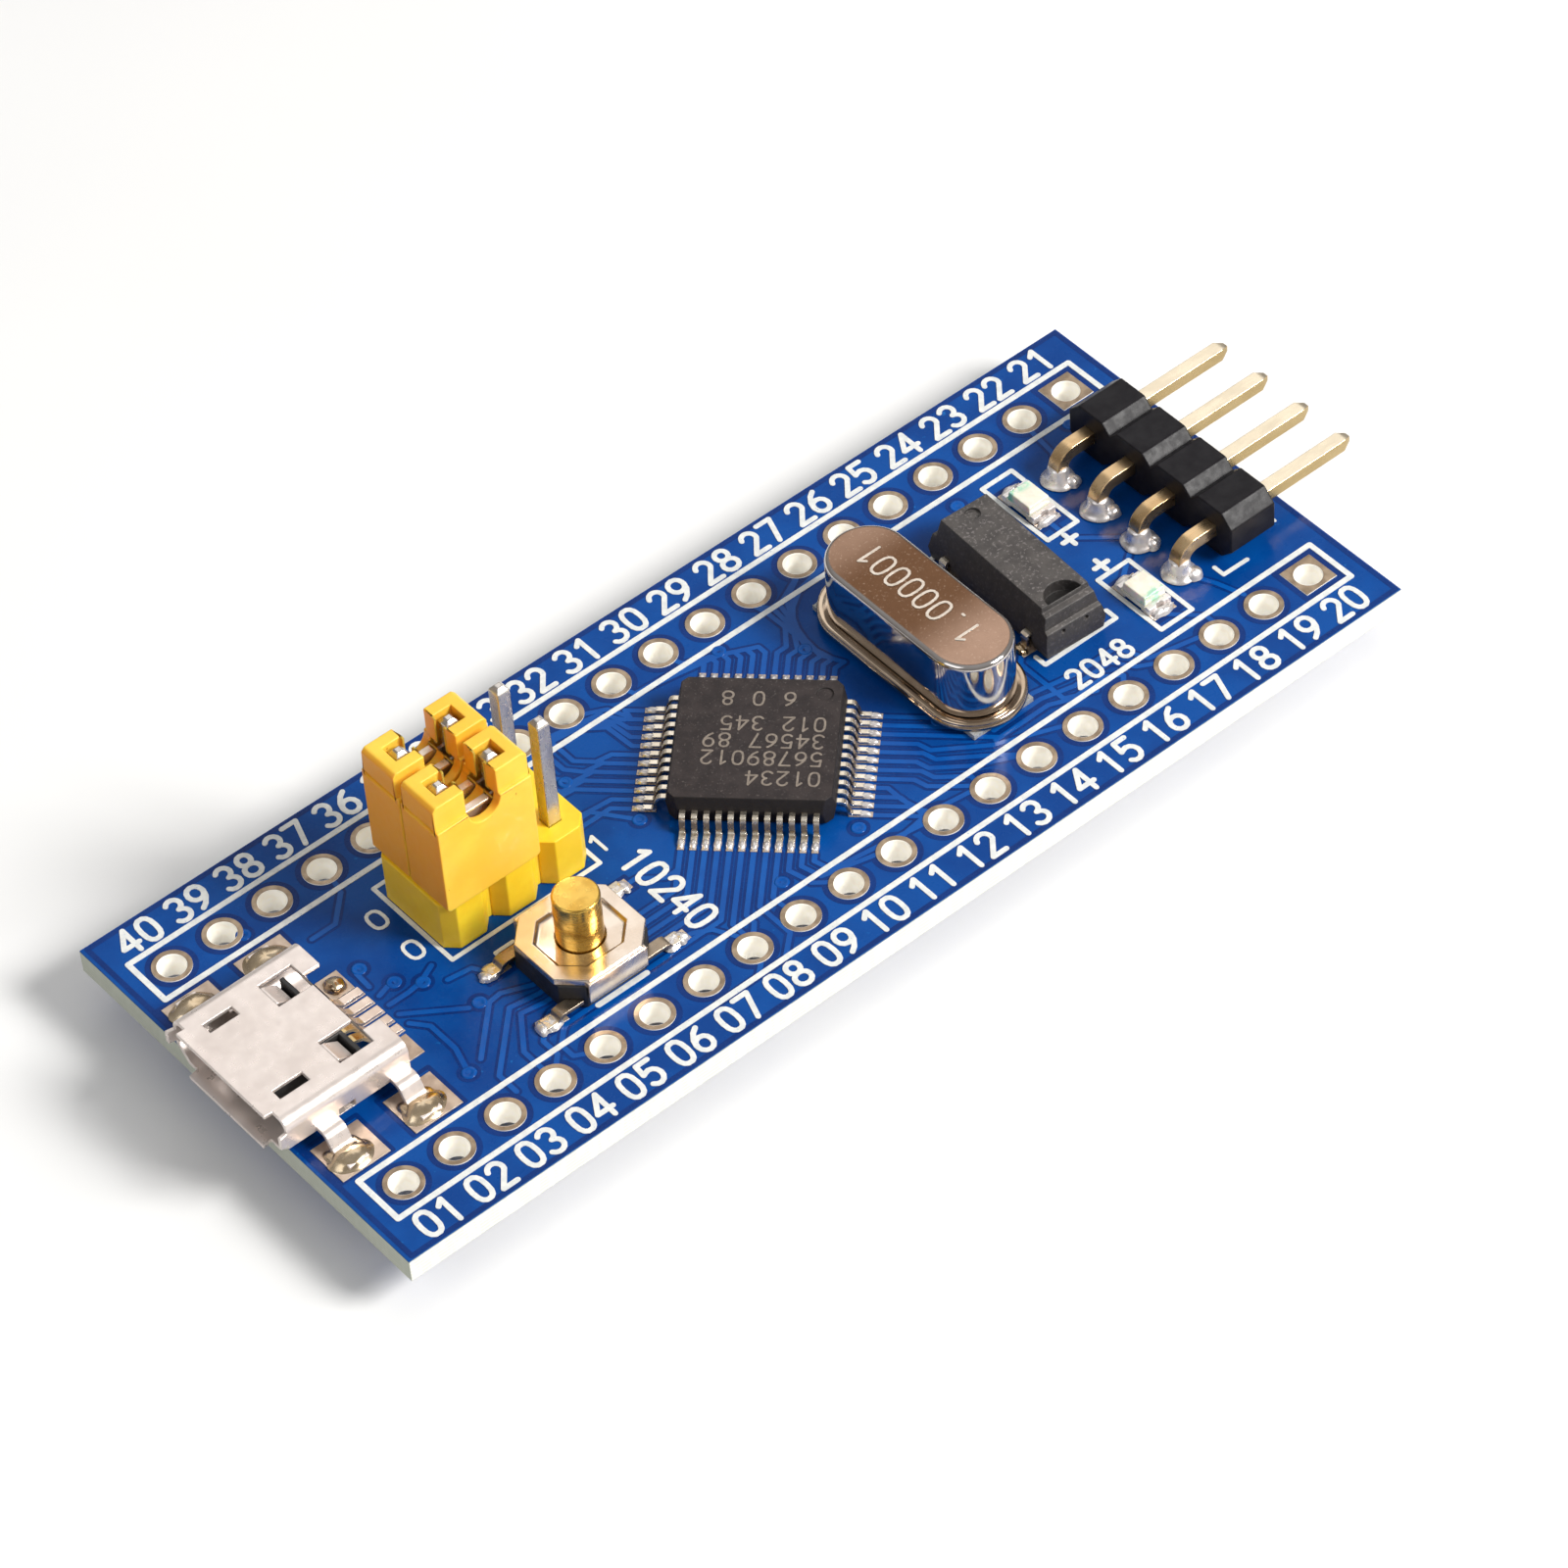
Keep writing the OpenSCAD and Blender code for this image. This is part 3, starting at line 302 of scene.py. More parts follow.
# a darker band on the leads between shoulder and toe: painted shade on the sloped legs
zz = b.axis(2)
shaded_waist = _math(b.nt, "MULTIPLY", _ramp(b.nt, zz, 0.00018, 0.00034, 0, 1), _ramp(b.nt, zz, 0.00072, 0.00056, 0, 1))
b.set_color(_mix(b.nt, _math(b.nt, "MULTIPLY", shaded_waist, 0.8), b.color, (0.22, 0.155, 0.10)))
# the flange's warm brown tint on the nickel is a painted reflection
mat("flange_nickel", (0.62, 0.50, 0.38), (0.50, 0.38, 0.27), blotch=700, metallic=1.0, rough=(0.10, 0.18), rough_scale=2200, bump=0.003, bump_scale=3000, bump_strength=0.3, edge=(0.88, 0.80, 0.68), edge_amount=0.5, bevel=0.04)
b = mat("can_nickel", (0.64, 0.60, 0.575), (0.56, 0.52, 0.49), blotch=500, metallic=1.0, rough=(0.07, 0.13), rough_scale=2200, bump=0.003, bump_scale=3000, bump_strength=0.3, edge=(0.85, 0.82, 0.78), edge_amount=0.4, bevel=0.04)
# the lid's flat top painted brown, darker in the middle and lighter towards its ends: painted reflection and painted
# light
flat = _ramp(b.nt, b.nz, 0.93, 0.995, 0, 1)
high = _ramp(b.nt, b.axis(2), 0.0033, 0.0035, 0, 1)
topf = _math(b.nt, "MULTIPLY", flat, high)
yy = b.axis(1)
light = _ramp(b.nt, yy, -0.0008, -0.0040, 0, 1)
light = _math(b.nt, "MAXIMUM", light, _ramp(b.nt, yy, 0.0022, 0.0046, 0, 0.55))
light = _math(b.nt, "MULTIPLY", light, _ramp(b.nt, _noise(b.nt, _stretch(b.nt, b.co, 1, 0.5, 1), 330, 2.0), 0.25, 0.75, 0.72, 1.0))
painted_top_reflection = _mix(b.nt, light, (0.150, 0.076, 0.040), (0.48, 0.315, 0.230))
painted_top_reflection = _mix(b.nt, _ramp(b.nt, _noise(b.nt, b.co, 9000, 2.0), 0.60, 0.72, 0, 0.30), painted_top_reflection, (0.58, 0.43, 0.33))
b.set_color(_mix(b.nt, topf, b.color, painted_top_reflection))
b.set_rough(_math(b.nt, "ADD", b.rough, _math(b.nt, "MULTIPLY", topf, 0.14)))
mat("can_mark", (0.88, 0.79, 0.69), (0.76, 0.66, 0.56), blotch=4000, metallic=0.8, rough=(0.36, 0.5), bump=0.004, bump_scale=12000, bump_strength=0.6, bevel=0.006)
mat("spacer_film", (0.78, 0.78, 0.74), (0.66, 0.67, 0.64), rough=(0.22, 0.36), transmission=0.55, ior=1.45, bump=0.006, bump_strength=0.3, bevel=0.02)
mat("seal_glass", (0.30, 0.42, 0.38), (0.22, 0.32, 0.30), rough=(0.08, 0.16), transmission=0.4, bump=0.003, bevel=0.01)
mat("quartz", (0.86, 0.88, 0.88), (0.78, 0.80, 0.82), rough=(0.3, 0.45), transmission=0.6, bump=0.002, bevel=0.01)
b = mat("watch_plastic", (0.080, 0.071, 0.066), (0.052, 0.046, 0.044), blotch=1300, rough=(0.46, 0.60), rough_scale=4200, bump=0.014, bump_scale=8500, bump_strength=0.6, speck=(0.15, 0.135, 0.13), speck_scale=7500, speck_level=0.57,
        edge=(0.24, 0.22, 0.20), edge_amount=0.55, bevel=0.06)
# the body's sides painted darker: painted shade
side = _ramp(b.nt, _math(b.nt, "ABSOLUTE", b.nz), 0.70, 0.95, 1, 0)
b.set_color(_mix(b.nt, _math(b.nt, "MULTIPLY", side, 0.65), b.color, (0.018, 0.016, 0.016)))
# the pocket's floor painted near black: painted shade in the recess
zz = b.axis(2)
pocket_shade = _math(b.nt, "MULTIPLY", _math(b.nt, "MULTIPLY", _ramp(b.nt, zz, 0.00174, 0.00180, 0, 1), _ramp(b.nt, zz, 0.00190, 0.00198, 1, 0)), _ramp(b.nt, b.nz, 0.8, 0.97, 0, 0.85))
b.set_color(_mix(b.nt, pocket_shade, b.color, (0.010, 0.009, 0.009)))
mat("led_ceramic", (0.80, 0.76, 0.66), (0.70, 0.65, 0.54), blotch=2600, rough=(0.35, 0.5), bump=0.006, bump_strength=0.3, edge=(0.9, 0.88, 0.8), bevel=0.03, sub=0.2)
b = mat("led_epoxy", (0.93, 0.89, 0.77), (0.84, 0.79, 0.65), blotch=2200, rough=(0.12, 0.22), bump=0.008, bump_scale=2500, bump_strength=0.3, transmission=0.08, sub=0.3, bevel=0.05)
yy = b.axis(1)
g1 = _math(b.nt, "MULTIPLY", _ramp(b.nt, yy, 0.0036, 0.0040, 0, 1), _ramp(b.nt, yy, 0.0050, 0.0046, 0, 1))
g2 = _math(b.nt, "MULTIPLY", _ramp(b.nt, yy, -0.0041, -0.0044, 0, 0.8), _ramp(b.nt, yy, -0.0050, -0.0047, 0, 1))
mottle = _ramp(b.nt, _noise(b.nt, b.co, 2300, 2.0), 0.40, 0.58, 0.1, 1)
green = _mix(b.nt, _math(b.nt, "MULTIPLY", _math(b.nt, "MULTIPLY", _math(b.nt, "MAXIMUM", g1, g2), mottle), 0.80), b.color, (0.10, 0.62, 0.38))
b.set_color(green)
mat("header_black", (0.007, 0.006, 0.008), (0.012, 0.011, 0.013), blotch=1200, rough=(0.30, 0.42), rough_scale=3000, bump=0.010, bump_scale=4500, bump_strength=0.35, edge=(0.13, 0.13, 0.135), edge_amount=0.5, bevel=0.07, spec=0.17)
b = mat("pin_gold", (0.77, 0.545, 0.305), (0.62, 0.41, 0.205), blotch=1400, metallic=0.95, rough=(0.24, 0.34), stretch=(0.4, 1, 1), bump=0.002, bump_scale=2600, bump_strength=0.15, edge=(0.93, 0.82, 0.55), edge_amount=0.3, bevel=0.02)
free = _ramp(b.nt, b.axis(0), 0.0243, 0.0247, 0, 1)
# on the pins' free outer ends the tops are painted near white: painted highlight
b.set_color(_mix(b.nt, _math(b.nt, "MULTIPLY", free, _ramp(b.nt, b.nz, 0.55, 0.9, 0, 0.75)), b.color, (0.96, 0.88, 0.70)))
# and the flanks there are painted olive: painted shade
shaded_flank = _math(b.nt, "MULTIPLY", free, _ramp(b.nt, _math(b.nt, "ABSOLUTE", b.nz), 0.2, 0.5, 0.7, 0))
b.set_color(_mix(b.nt, shaded_flank, b.color, (0.36, 0.285, 0.125)))
b = mat("header_yellow", (1.0, 0.70, 0.035), (0.94, 0.62, 0.025), blotch=900, spec=0.35, rough=(0.30, 0.42), bump=0.010, bump_scale=3800, bump_strength=0.3, edge=(0.95, 0.74, 0.12), edge_amount=0.5, bevel=0.06, sub=0.25, sub_radius=(1.0, 0.55, 0.06))
nx = b.nt.nodes.new("ShaderNodeSeparateXYZ")
b.nt.links.new(b.geo.outputs["Normal"], nx.inputs[0])
# faces turned towards -X painted deeper orange: painted shade
b.set_color(_mix(b.nt, _ramp(b.nt, nx.outputs[0], -0.4, -0.9, 0, 0.5), b.color, (0.88, 0.50, 0.012)))
mat("pin_tin", (0.66, 0.62, 0.575), (0.55, 0.50, 0.455), blotch=1100, metallic=1.0, rough=(0.20, 0.32), stretch=(1, 1, 0.35), bump=0.0025, bump_scale=2600, bump_strength=0.18, edge=(0.86, 0.83, 0.78), edge_amount=0.45, bevel=0.03)
b = mat("cap_orange", (0.99, 0.63, 0.075), (0.95, 0.55, 0.052), blotch=420, spec=0.35, rough=(0.30, 0.42), rough_scale=2500, bump=0.010, bump_scale=3200, bump_strength=0.28, edge=(1.0, 0.66, 0.16), edge_amount=0.45, bevel=0.08, sub=0.3,
    sub_radius=(1.0, 0.45, 0.08), speck=(0.66, 0.31, 0.02), speck_scale=2600, speck_level=0.74)
nx = b.nt.nodes.new("ShaderNodeSeparateXYZ")
b.nt.links.new(b.geo.outputs["Normal"], nx.inputs[0])
# faces turned towards -X painted deep orange: painted shade
b.set_color(_mix(b.nt, _ramp(b.nt, nx.outputs[0], -0.4, -0.9, 0, 0.8), b.color, (0.78, 0.27, 0.004)))
mat("clip_tin", (0.90, 0.82, 0.72), (0.80, 0.70, 0.58), metallic=0.8, rough=(0.26, 0.40), edge=(0.92, 0.86, 0.76), bevel=0.03)
mat("switch_black", (0.014, 0.013, 0.013), (0.024, 0.022, 0.021), rough=(0.36, 0.5), bump=0.008, bump_strength=0.35, edge=(0.10, 0.09, 0.09), bevel=0.05)
b = mat("cover_steel", (0.82, 0.715, 0.61), (0.73, 0.61, 0.50), blotch=700, metallic=0.95, rough=(0.16, 0.25), rough_scale=1600, bump=0.0015, bump_scale=2600, bump_strength=0.15, edge=(0.96, 0.92, 0.86), edge_amount=0.85, bevel=0.07, scratch=0.6, scratch_dir=(3.5, 0.5, 1))
# the dish's sloped faces painted dark brown: painted shade and painted dark reflection
slope_shade = _math(b.nt, "MULTIPLY", _ramp(b.nt, b.nz, 0.40, 0.65, 0, 1), _ramp(b.nt, b.nz, 0.90, 0.965, 1, 0))
b.set_color(_mix(b.nt, _math(b.nt, "MULTIPLY", slope_shade, 0.75), b.color, (0.26, 0.165, 0.095)))
mat("dome_steel", (0.6, 0.6, 0.62), (0.5, 0.5, 0.52), metallic=1.0, rough=(0.2, 0.3), bevel=0.02)
b = mat("plunger_brass", (0.78, 0.50, 0.115), (0.66, 0.39, 0.075), blotch=1300, metallic=1.0, rough=(0.18, 0.30), stretch=(1, 1, 5), bump=0.004, bump_scale=4000, bump_strength=0.3, edge=(0.98, 0.84, 0.5), edge_amount=0.8, bevel=0.06)
mat("capacitor_ceramic", (0.42, 0.27, 0.15), (0.34, 0.21, 0.11), blotch=1500, rough=(0.35, 0.5), bump=0.008, bump_strength=0.35, edge=(0.55, 0.4, 0.26), bevel=0.04)
mat("resistor_film", (0.020, 0.020, 0.022), (0.032, 0.031, 0.033), rough=(0.22, 0.36), bump=0.005, bump_strength=0.3, edge=(0.2, 0.2, 0.2), bevel=0.04, coat=0.3)
mat("solder", (0.88, 0.84, 0.82), (0.76, 0.71, 0.69), blotch=1800, metallic=0.75, rough=(0.24, 0.40), rough_scale=2600, bump=0.006, bump_scale=2400, bump_strength=0.25, bevel=0.02)
mat("solder_warm", (0.76, 0.62, 0.44), (0.62, 0.48, 0.31), blotch=1600, metallic=1.0, rough=(0.16, 0.28), rough_scale=2400, bump=0.006, bump_scale=1800, bump_strength=0.2, bevel=0.02)
mat("flux", (0.30, 0.20, 0.10), (0.22, 0.14, 0.07), rough=(0.1, 0.2), transmission=0.5, bump=0.01, bump_strength=0.3, bevel=0.01)


# ---------------------------------------------------------------- mesh helpers
class Shape:
    """Closed solids gathered into one mesh, in millimetres."""

    def __init__(self):
        self.v, self.f, self.flat, self.cut = [], [], {}, []

    def add(self, verts, faces):
        n = len(self.v)
        self.v += [tuple(p) for p in verts]
        self.f += [tuple(i + n for i in q) for q in faces]

    def stroke(self, pts, w, z0, z1, closed=False, cap=7):
        """A flat line of width w along pts with round joints and ends, kept for the merged layer z0 to z1."""
        P = [Vector((p[0], p[1])) for p in pts]
        P = [p for i, p in enumerate(P) if i == 0 or (p - P[i - 1]).length > 1e-4]
        if closed and (P[0] - P[-1]).length < 1e-4:
            P.pop()
        polys = self.flat.setdefault((z0, z1), [])
        n, h = len(P), w / 2
        for i in range(n if closed else n - 1):
            a, b = P[i], P[(i + 1) % n]
            d = (b - a).normalized()
            m = Vector((-d.y, d.x)) * h
            polys.append([a - m, b - m, b + m, a + m])
        for i, p in enumerate(P):
            t = 0.0
            if n > 1:
                d = (P[i] - P[i - 1]) if i else (P[1] - P[0])
                t = math.atan2(d.y, d.x) + math.pi / 2
            polys.append([p + Vector((math.cos(t + math.pi * k / cap), math.sin(t + math.pi * k / cap))) * h for k in range(2 * cap)])

    def merge(self):
        """The kept lines of each layer, joined into one outline less the cutters, and given their thickness."""
        def inside(x, y, cells):
            return any(all(dx * (y - ay) - dy * (x - ax) > 0 for ax, ay, dx, dy in q) for q in cells.get((math.floor(x), math.floor(y)), ()))

        def grid(polys):
            cells = {}
            for q in polys:
                xs, ys = [p.x for p in q], [p.y for p in q]
                for gx in range(math.floor(min(xs)), math.floor(max(xs)) + 1):
                    for gy in range(math.floor(min(ys)), math.floor(max(ys)) + 1):
                        cells.setdefault((gx, gy), []).append([(a.x, a.y, b.x - a.x, b.y - a.y) for a, b in zip(q, q[1:] + q[:1])])
            return cells

        cutting = grid(self.cut)
        for (z0, z1), polys in self.flat.items():
            V, F = [], []
            for q in polys + self.cut:
                F.append(list(range(len(V), len(V) + len(q))))
                V += q
            v, _, tri, _, _, _ = delaunay_2d_cdt(V, [], F, 0, 1e-4)
            cells = grid(polys)
            keep = []
            for t in tri:
                a, b, c = (v[k] for k in t)
                area = (b.x - a.x) * (c.y - a.y) - (b.y - a.y) * (c.x - a.x)
                x, y = (a.x + b.x + c.x) / 3, (a.y + b.y + c.y) / 3
                if abs(area) > 1e-9 and inside(x, y, cells) and not inside(x, y, cutting):
                    keep.append(tuple(t) if area > 0 else tuple(t[::-1]))
            directed = {(t[k], t[(k + 1) % len(t)]) for t in keep for k in range(len(t))}
            used = sorted({k for t in keep for k in t})
            at = {k: n for n, k in enumerate(used)}
            m = len(used)
            faces = [tuple(at[k] for k in t) for t in keep] + [tuple(at[k] + m for k in t[::-1]) for t in keep]
            faces += [(at[a] + m, at[b] + m, at[b], at[a]) for a, b in directed if (b, a) not in directed]
            self.add([(v[k].x, v[k].y, z1) for k in used] + [(v[k].x, v[k].y, z0) for k in used], faces)
        self.flat = {}

    def prism(self, outline, z0, z1):
        n = len(outline)
        V = [(x, y, z1) for x, y in outline] + [(x, y, z0) for x, y in outline]
        F = [tuple(range(n)), tuple(range(2 * n - 1, n - 1, -1))] + [(i, n + i, n + (i + 1) % n, (i + 1) % n) for i in range(n)]
        self.add(V, F)

    def lathe(self, c, prof, n=20, sx=1.0, sy=1.0, turn=0.0, wob=0.0, seed=0.0, up=1):
        """Rings of (radius, height) about a vertical axis at c; wob is a random waviness of the radius."""
        V, F = [], []
        ca, sa = math.cos(turn), math.sin(turn)
        for r, z in prof:
            for i in range(n):
                a = 2 * math.pi * i / n
                k = 1 + wob * noise.noise(Vector((math.cos(a) * 1.3 + seed, math.sin(a) * 1.3 - seed, z * 1.5 + seed * 2)))
                x, y = r * k * math.cos(a) * sx, r * k * math.sin(a) * sy
                V.append((c[0] + ca * x - sa * y, c[1] + sa * x + ca * y, c[2] + z * up * (1 + 0.4 * (k - 1))))
        m = len(prof)
        for j in range(m - 1):
            for i in range(n):
                F.append((j * n + i, j * n + (i + 1) % n, (j + 1) * n + (i + 1) % n, (j + 1) * n + i))
        F.append(tuple(range(n - 1, -1, -1)))
        F.append(tuple(range((m - 1) * n, m * n)))
        self.add(V, F)

    def dome(self, c, rx, ry, h, turn=0.0, wob=0.25, seed=0.0, n=18, up=1, flare=0.12):
        prof = [(1 + flare, 0.0), (1 + flare * 0.55, h * 0.10)] + [(math.cos(t), h * (0.16 + 0.84 * math.sin(t))) for t in (0.15, 0.45, 0.75, 1.05, 1.3, 1.48)]
        self.lathe(c, prof, n, rx, ry, turn, wob, seed, up)

    def obj(self, name, key, body="board", slot=None, smooth=40, weld=True):
        flat = bool(self.flat)
        self.merge()
        me = bpy.data.meshes.new(name)
        me.from_pydata([(x * MM, y * MM, z * MM) for x, y, z in self.v], [], self.f)
        bm = bmesh.new()
        bm.from_mesh(me)
        if not flat:
            bmesh.ops.recalc_face_normals(bm, faces=bm.faces)
        bm.to_mesh(me)
        bm.free()
        me.materials.append(MATS[key].m)
        return place(name, me, body, smooth)


def place(name, me, body, smooth=None):
    o = bpy.data.objects.new(name, me)
    bpy.context.scene.collection.objects.link(o)
    if smooth is not None:
        me.polygons.foreach_set("use_smooth", [True] * len(me.polygons))
        me.set_sharp_from_angle(angle=math.radians(smooth))
    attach(o, body)
    return o


def weigh(me, limit=50):
    """Vertex normals led by the larger flats, so a flat stays flat up to its rounded edge."""
    bm = bmesh.new()
    bm.from_mesh(me)
    bm.faces.ensure_lookup_table()
    group, areas = [-1] * len(bm.faces), []
    for f in bm.faces:
        if group[f.index] >= 0:
            continue
        g, total, todo = len(areas), 0.0, [f]
        group[f.index] = g
        while todo:
            a = todo.pop()
            total += a.calc_area()
            for e in a.edges:
                for b in e.link_faces:
                    if group[b.index] < 0 and a.normal.dot(b.normal) > 0.99996:
                        group[b.index] = g
                        todo.append(b)
        areas.append(total)
    lim = math.cos(math.radians(limit))
    out = []
    for f in bm.faces:
        for v in f.verts:
            n, seen = Vector(), set()
            for b in v.link_faces:
                if group[b.index] not in seen and f.normal.dot(b.normal) > lim:
                    seen.add(group[b.index])
                    n += b.normal * areas[group[b.index]]
            out.append(tuple(n.normalized() if n.length > 1e-20 else f.normal))
    bm.free()
    me.polygons.foreach_set("use_smooth", [True] * len(me.polygons))
    me.normals_split_custom_set(out)


def refine(node, key, width, segs=2, angle=30, smooth=None, only=None, first=None):
    """A copy of a CAD node with its outer edges rounded by width mm; it stands for the node."""
    src = NODES[node]
    body = src["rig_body"]
    bm = bmesh.new()
    bm.from_mesh(src.data)
    bmesh.ops.scale(bm, vec=(1000, 1000, 1000), verts=bm.verts)
    bmesh.ops.remove_doubles(bm, verts=bm.verts, dist=0.0008)
    for test, w, n in ((first,) if first else ()) + ((only, width, segs),):
        sel = [e for e in bm.edges if len(e.link_faces) == 2 and e.is_convex and e.calc_face_angle(0) > math.radians(angle) and (test is None or test(e))]
        bmesh.ops.bevel(bm, geom=sel, offset=w, segments=n, profile=0.5, affect="EDGES", clamp_overlap=False, material=-1, offset_type="OFFSET")
        bmesh.ops.remove_doubles(bm, verts=bm.verts, dist=0.0004)
    bmesh.ops.triangulate(bm, faces=[f for f in bm.faces if len(f.verts) > 4])
    bmesh.ops.scale(bm, vec=(0.001, 0.001, 0.001), verts=bm.verts)
    me = bpy.data.meshes.new(node + ".shape")
    bm.to_mesh(me)
    bm.free()
    me.materials.append(MATS[key].m)
    weigh(me, smooth or 50)
    o = place(node + ".finished", me, body)
    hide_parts(node)
    return o


# ---------------------------------------------------------------- numerals
def _arc(cx, cy, rx, ry, a0, a1, n=9):
    return [(cx + rx * math.cos(math.radians(a0 + (a1 - a0) * i / n)), cy + ry * math.sin(math.radians(a0 + (a1 - a0) * i / n))) for i in range(n + 1)]


def _oval(cx, cy, rx, ry, n=14, p=2.6):
    out = []
    for i in range(n):
        a = 2 * math.pi * i / n
        c, s = math.cos(a), math.sin(a)
        out.append((cx + rx * math.copysign(abs(c) ** (2 / p), c), cy + ry * math.copysign(abs(s) ** (2 / p), s)))
    return out


GLYPHS = {
    "0": [(_oval(0.3, 0.5, 0.27, 0.5), True)],
    "1": [([(0.12, 0.80), (0.34, 1.0), (0.34, 0.0)], False)],
    "2": [(_arc(0.3, 0.72, 0.26, 0.28, 165, -20) + [(0.03, 0.0), (0.58, 0.0)], False)],
    "3": [(_arc(0.28, 0.75, 0.25, 0.25, 150, -80) + _arc(0.28, 0.25, 0.28, 0.26, 80, -150), False)],
    "4": [([(0.44, 0.0), (0.44, 1.0), (0.0, 0.30), (0.60, 0.30)], False)],
    "5": [([(0.54, 1.0), (0.09, 1.0), (0.05, 0.56)] + _arc(0.28, 0.32, 0.28, 0.32, 118, -140), False)],
    "6": [([(0.47, 0.97), (0.28, 0.84), (0.10, 0.60), (0.03, 0.36)], False), (_oval(0.3, 0.30, 0.27, 0.30, 12, 2.1), True)],
    "7": [([(0.02, 1.0), (0.57, 1.0), (0.22, 0.0)], False)],
    "8": [(_oval(0.3, 0.76, 0.23, 0.24, 12, 2.1), True), (_oval(0.3, 0.26, 0.28, 0.26, 12, 2.1), True)],
    "9": [([(0.13, 0.03), (0.32, 0.16), (0.50, 0.40), (0.57, 0.64)], False), (_oval(0.3, 0.70, 0.27, 0.30, 12, 2.1), True)],
    "+": [([(0.05, 0.5), (0.55, 0.5)], False), ([(0.3, 0.25), (0.3, 0.75)], False)],
    "-": [([(0.08, 0.5), (0.52, 0.5)], False)],
    ".": [([(0.26, 0.02), (0.34, 0.02)], False)],
    " ": [],
}


def write(shape, s, at, ux, uy, h, w, z0, z1, step=0.80, wide=1.0):
    """Numerals from point at, running along ux with their tops towards uy; h is their height and w the line's width."""
    for i, ch in enumerate(s):
        for pts, closed in GLYPHS[ch]:
            q = []
            for x, y in pts:
                a = (i * step + x * wide) * h
                q.append((at[0] + ux[0] * a + uy[0] * y * h, at[1] + ux[1] * a + uy[1] * y * h))
            shape.stroke(q, w, z0, z1, closed)


# ---------------------------------------------------------------- copper under the solder mask
def dedupe(paths):
    return [p for p in paths if len(p) > 1]


S2 = math.sqrt(0.5)


def mcu_pt(side, i, r):
    """A point on lead i (0 to 11) of one side of the controller, r from its middle."""
    a = math.radians(45 + 90 * side)
    t = (i - 5.5) * 0.5
    return (MCU_X + r * math.cos(a) - t * math.sin(a), r * math.sin(a) + t * math.cos(a))


TRACES = []
# lower side (towards -X -Y): straight out, then some turn towards the USB end or to the near row
for i in range(12):
    p = mcu_pt(2, i, 4.95)
    if i < 5:
        stop = (-3.10, -3.62, -4.14, -4.66, -5.62)[i] if i < 4 else -5.60
        k = (p[1] - stop)
        q = (p[0] - k, stop)
        run = (-14.05, -14.15, -14.25, -14.4, -14.3)[i]
        ends = [[(-15.3, -2.55), (-15.9, -2.62), (-18.0, -4.72)], [(-15.5, -3.4), (-18.0, -5.9), (-18.0, -7.0)], [(-15.35, -3.95), (-16.51, -5.6), (-16.51, -6.8)], [(-14.9, -4.9), (-15.6, -5.7), (-15.6, -6.6), (-16.3, -7.3)], [(-15.6, -6.5), (-15.6, -6.9), (-13.97, -7.4)]][i]
        if i == 4:
            ends = [(-14.6, -5.75), (-15.2, -6.35), (-15.2, -7.1), (-14.3, -7.6)]
        TRACES.append([p, q, (run, stop)] + ends)
    elif i < 9:
        hx = HOLE_X[(7, 7, 7, 8, 8, 9)[i - 5]]
        hx = (-6.35, -5.08, -3.81, -3.81)[i - 5] if i < 9 else hx
        k = abs(p[1] + 6.1)
        q = (p[0] - k, -6.1)
        TRACES.append([p, q, (q[0], -6.6)] + ([(HOLE_X[7], -7.6)] if i == 6 else [(HOLE_X[8], -7.6)] if i == 8 else [(q[0], -8.0), (q[0] - 1.0, -8.9), (HOLE_X[6 if i == 5 else 7] - 0.4, -8.9)]))
    else:
        k = (0.95, 0.7, 0.4)[i - 9]
        q = (p[0] - k * S2, p[1] - k * S2)
        TRACES.append([p, q, (q[0] + 0.25, q[1] - 0.95), (q[0] + 0.25, -6.55), ((-1.27, 1.27, 3.81)[i - 9] - 0.2, -7.3)])
# right side (towards +X -Y)
for i in range(12):
    p = mcu_pt(3, i, 4.95)
    if i < 4:
        k = 0.5 + 0.55 * (3 - i)
        q = (p[0] + k * S2, p[1] - k * S2)
        TRACES.append([p, q, (q[0], max(-6.4, q[1] - 0.9)), (q[0] + 0.3, -6.9), (HOLE_X[10 + (i + 1) // 2] - 0.25, -7.25)])
    elif i < 9:
        k = 1.55 + 0.25 * (i % 2)
        q = (p[0] + k * S2, p[1] - k * S2)
        j = i - 4
        TRACES.append([p, q, (q[0] + 0.15, q[1] - 0.62), (q[0] + 1.0 + 0.3 * j, q[1] - 1.42 - 0.3 * j * 0.6), (HOLE_X[12] + 2.54 * (j // 2) - 0.2, -7.2)])
    else:
        j = i - 9
        y = (-4.75, -5.22, -5.69)[2 - j]
        k = p[1] - y
        TRACES.append([p, (p[0] + k, y), (8.3 + 0.3 * j, y - 0.05), (11.2, y - 0.05), (12.1 + 0.6 * j, y - 0.45), (14.0 + 0.7 * j, y - 0.45), (14.6 + 0.7 * j, -6.6), (HOLE_X[15 + j], -7.3)])
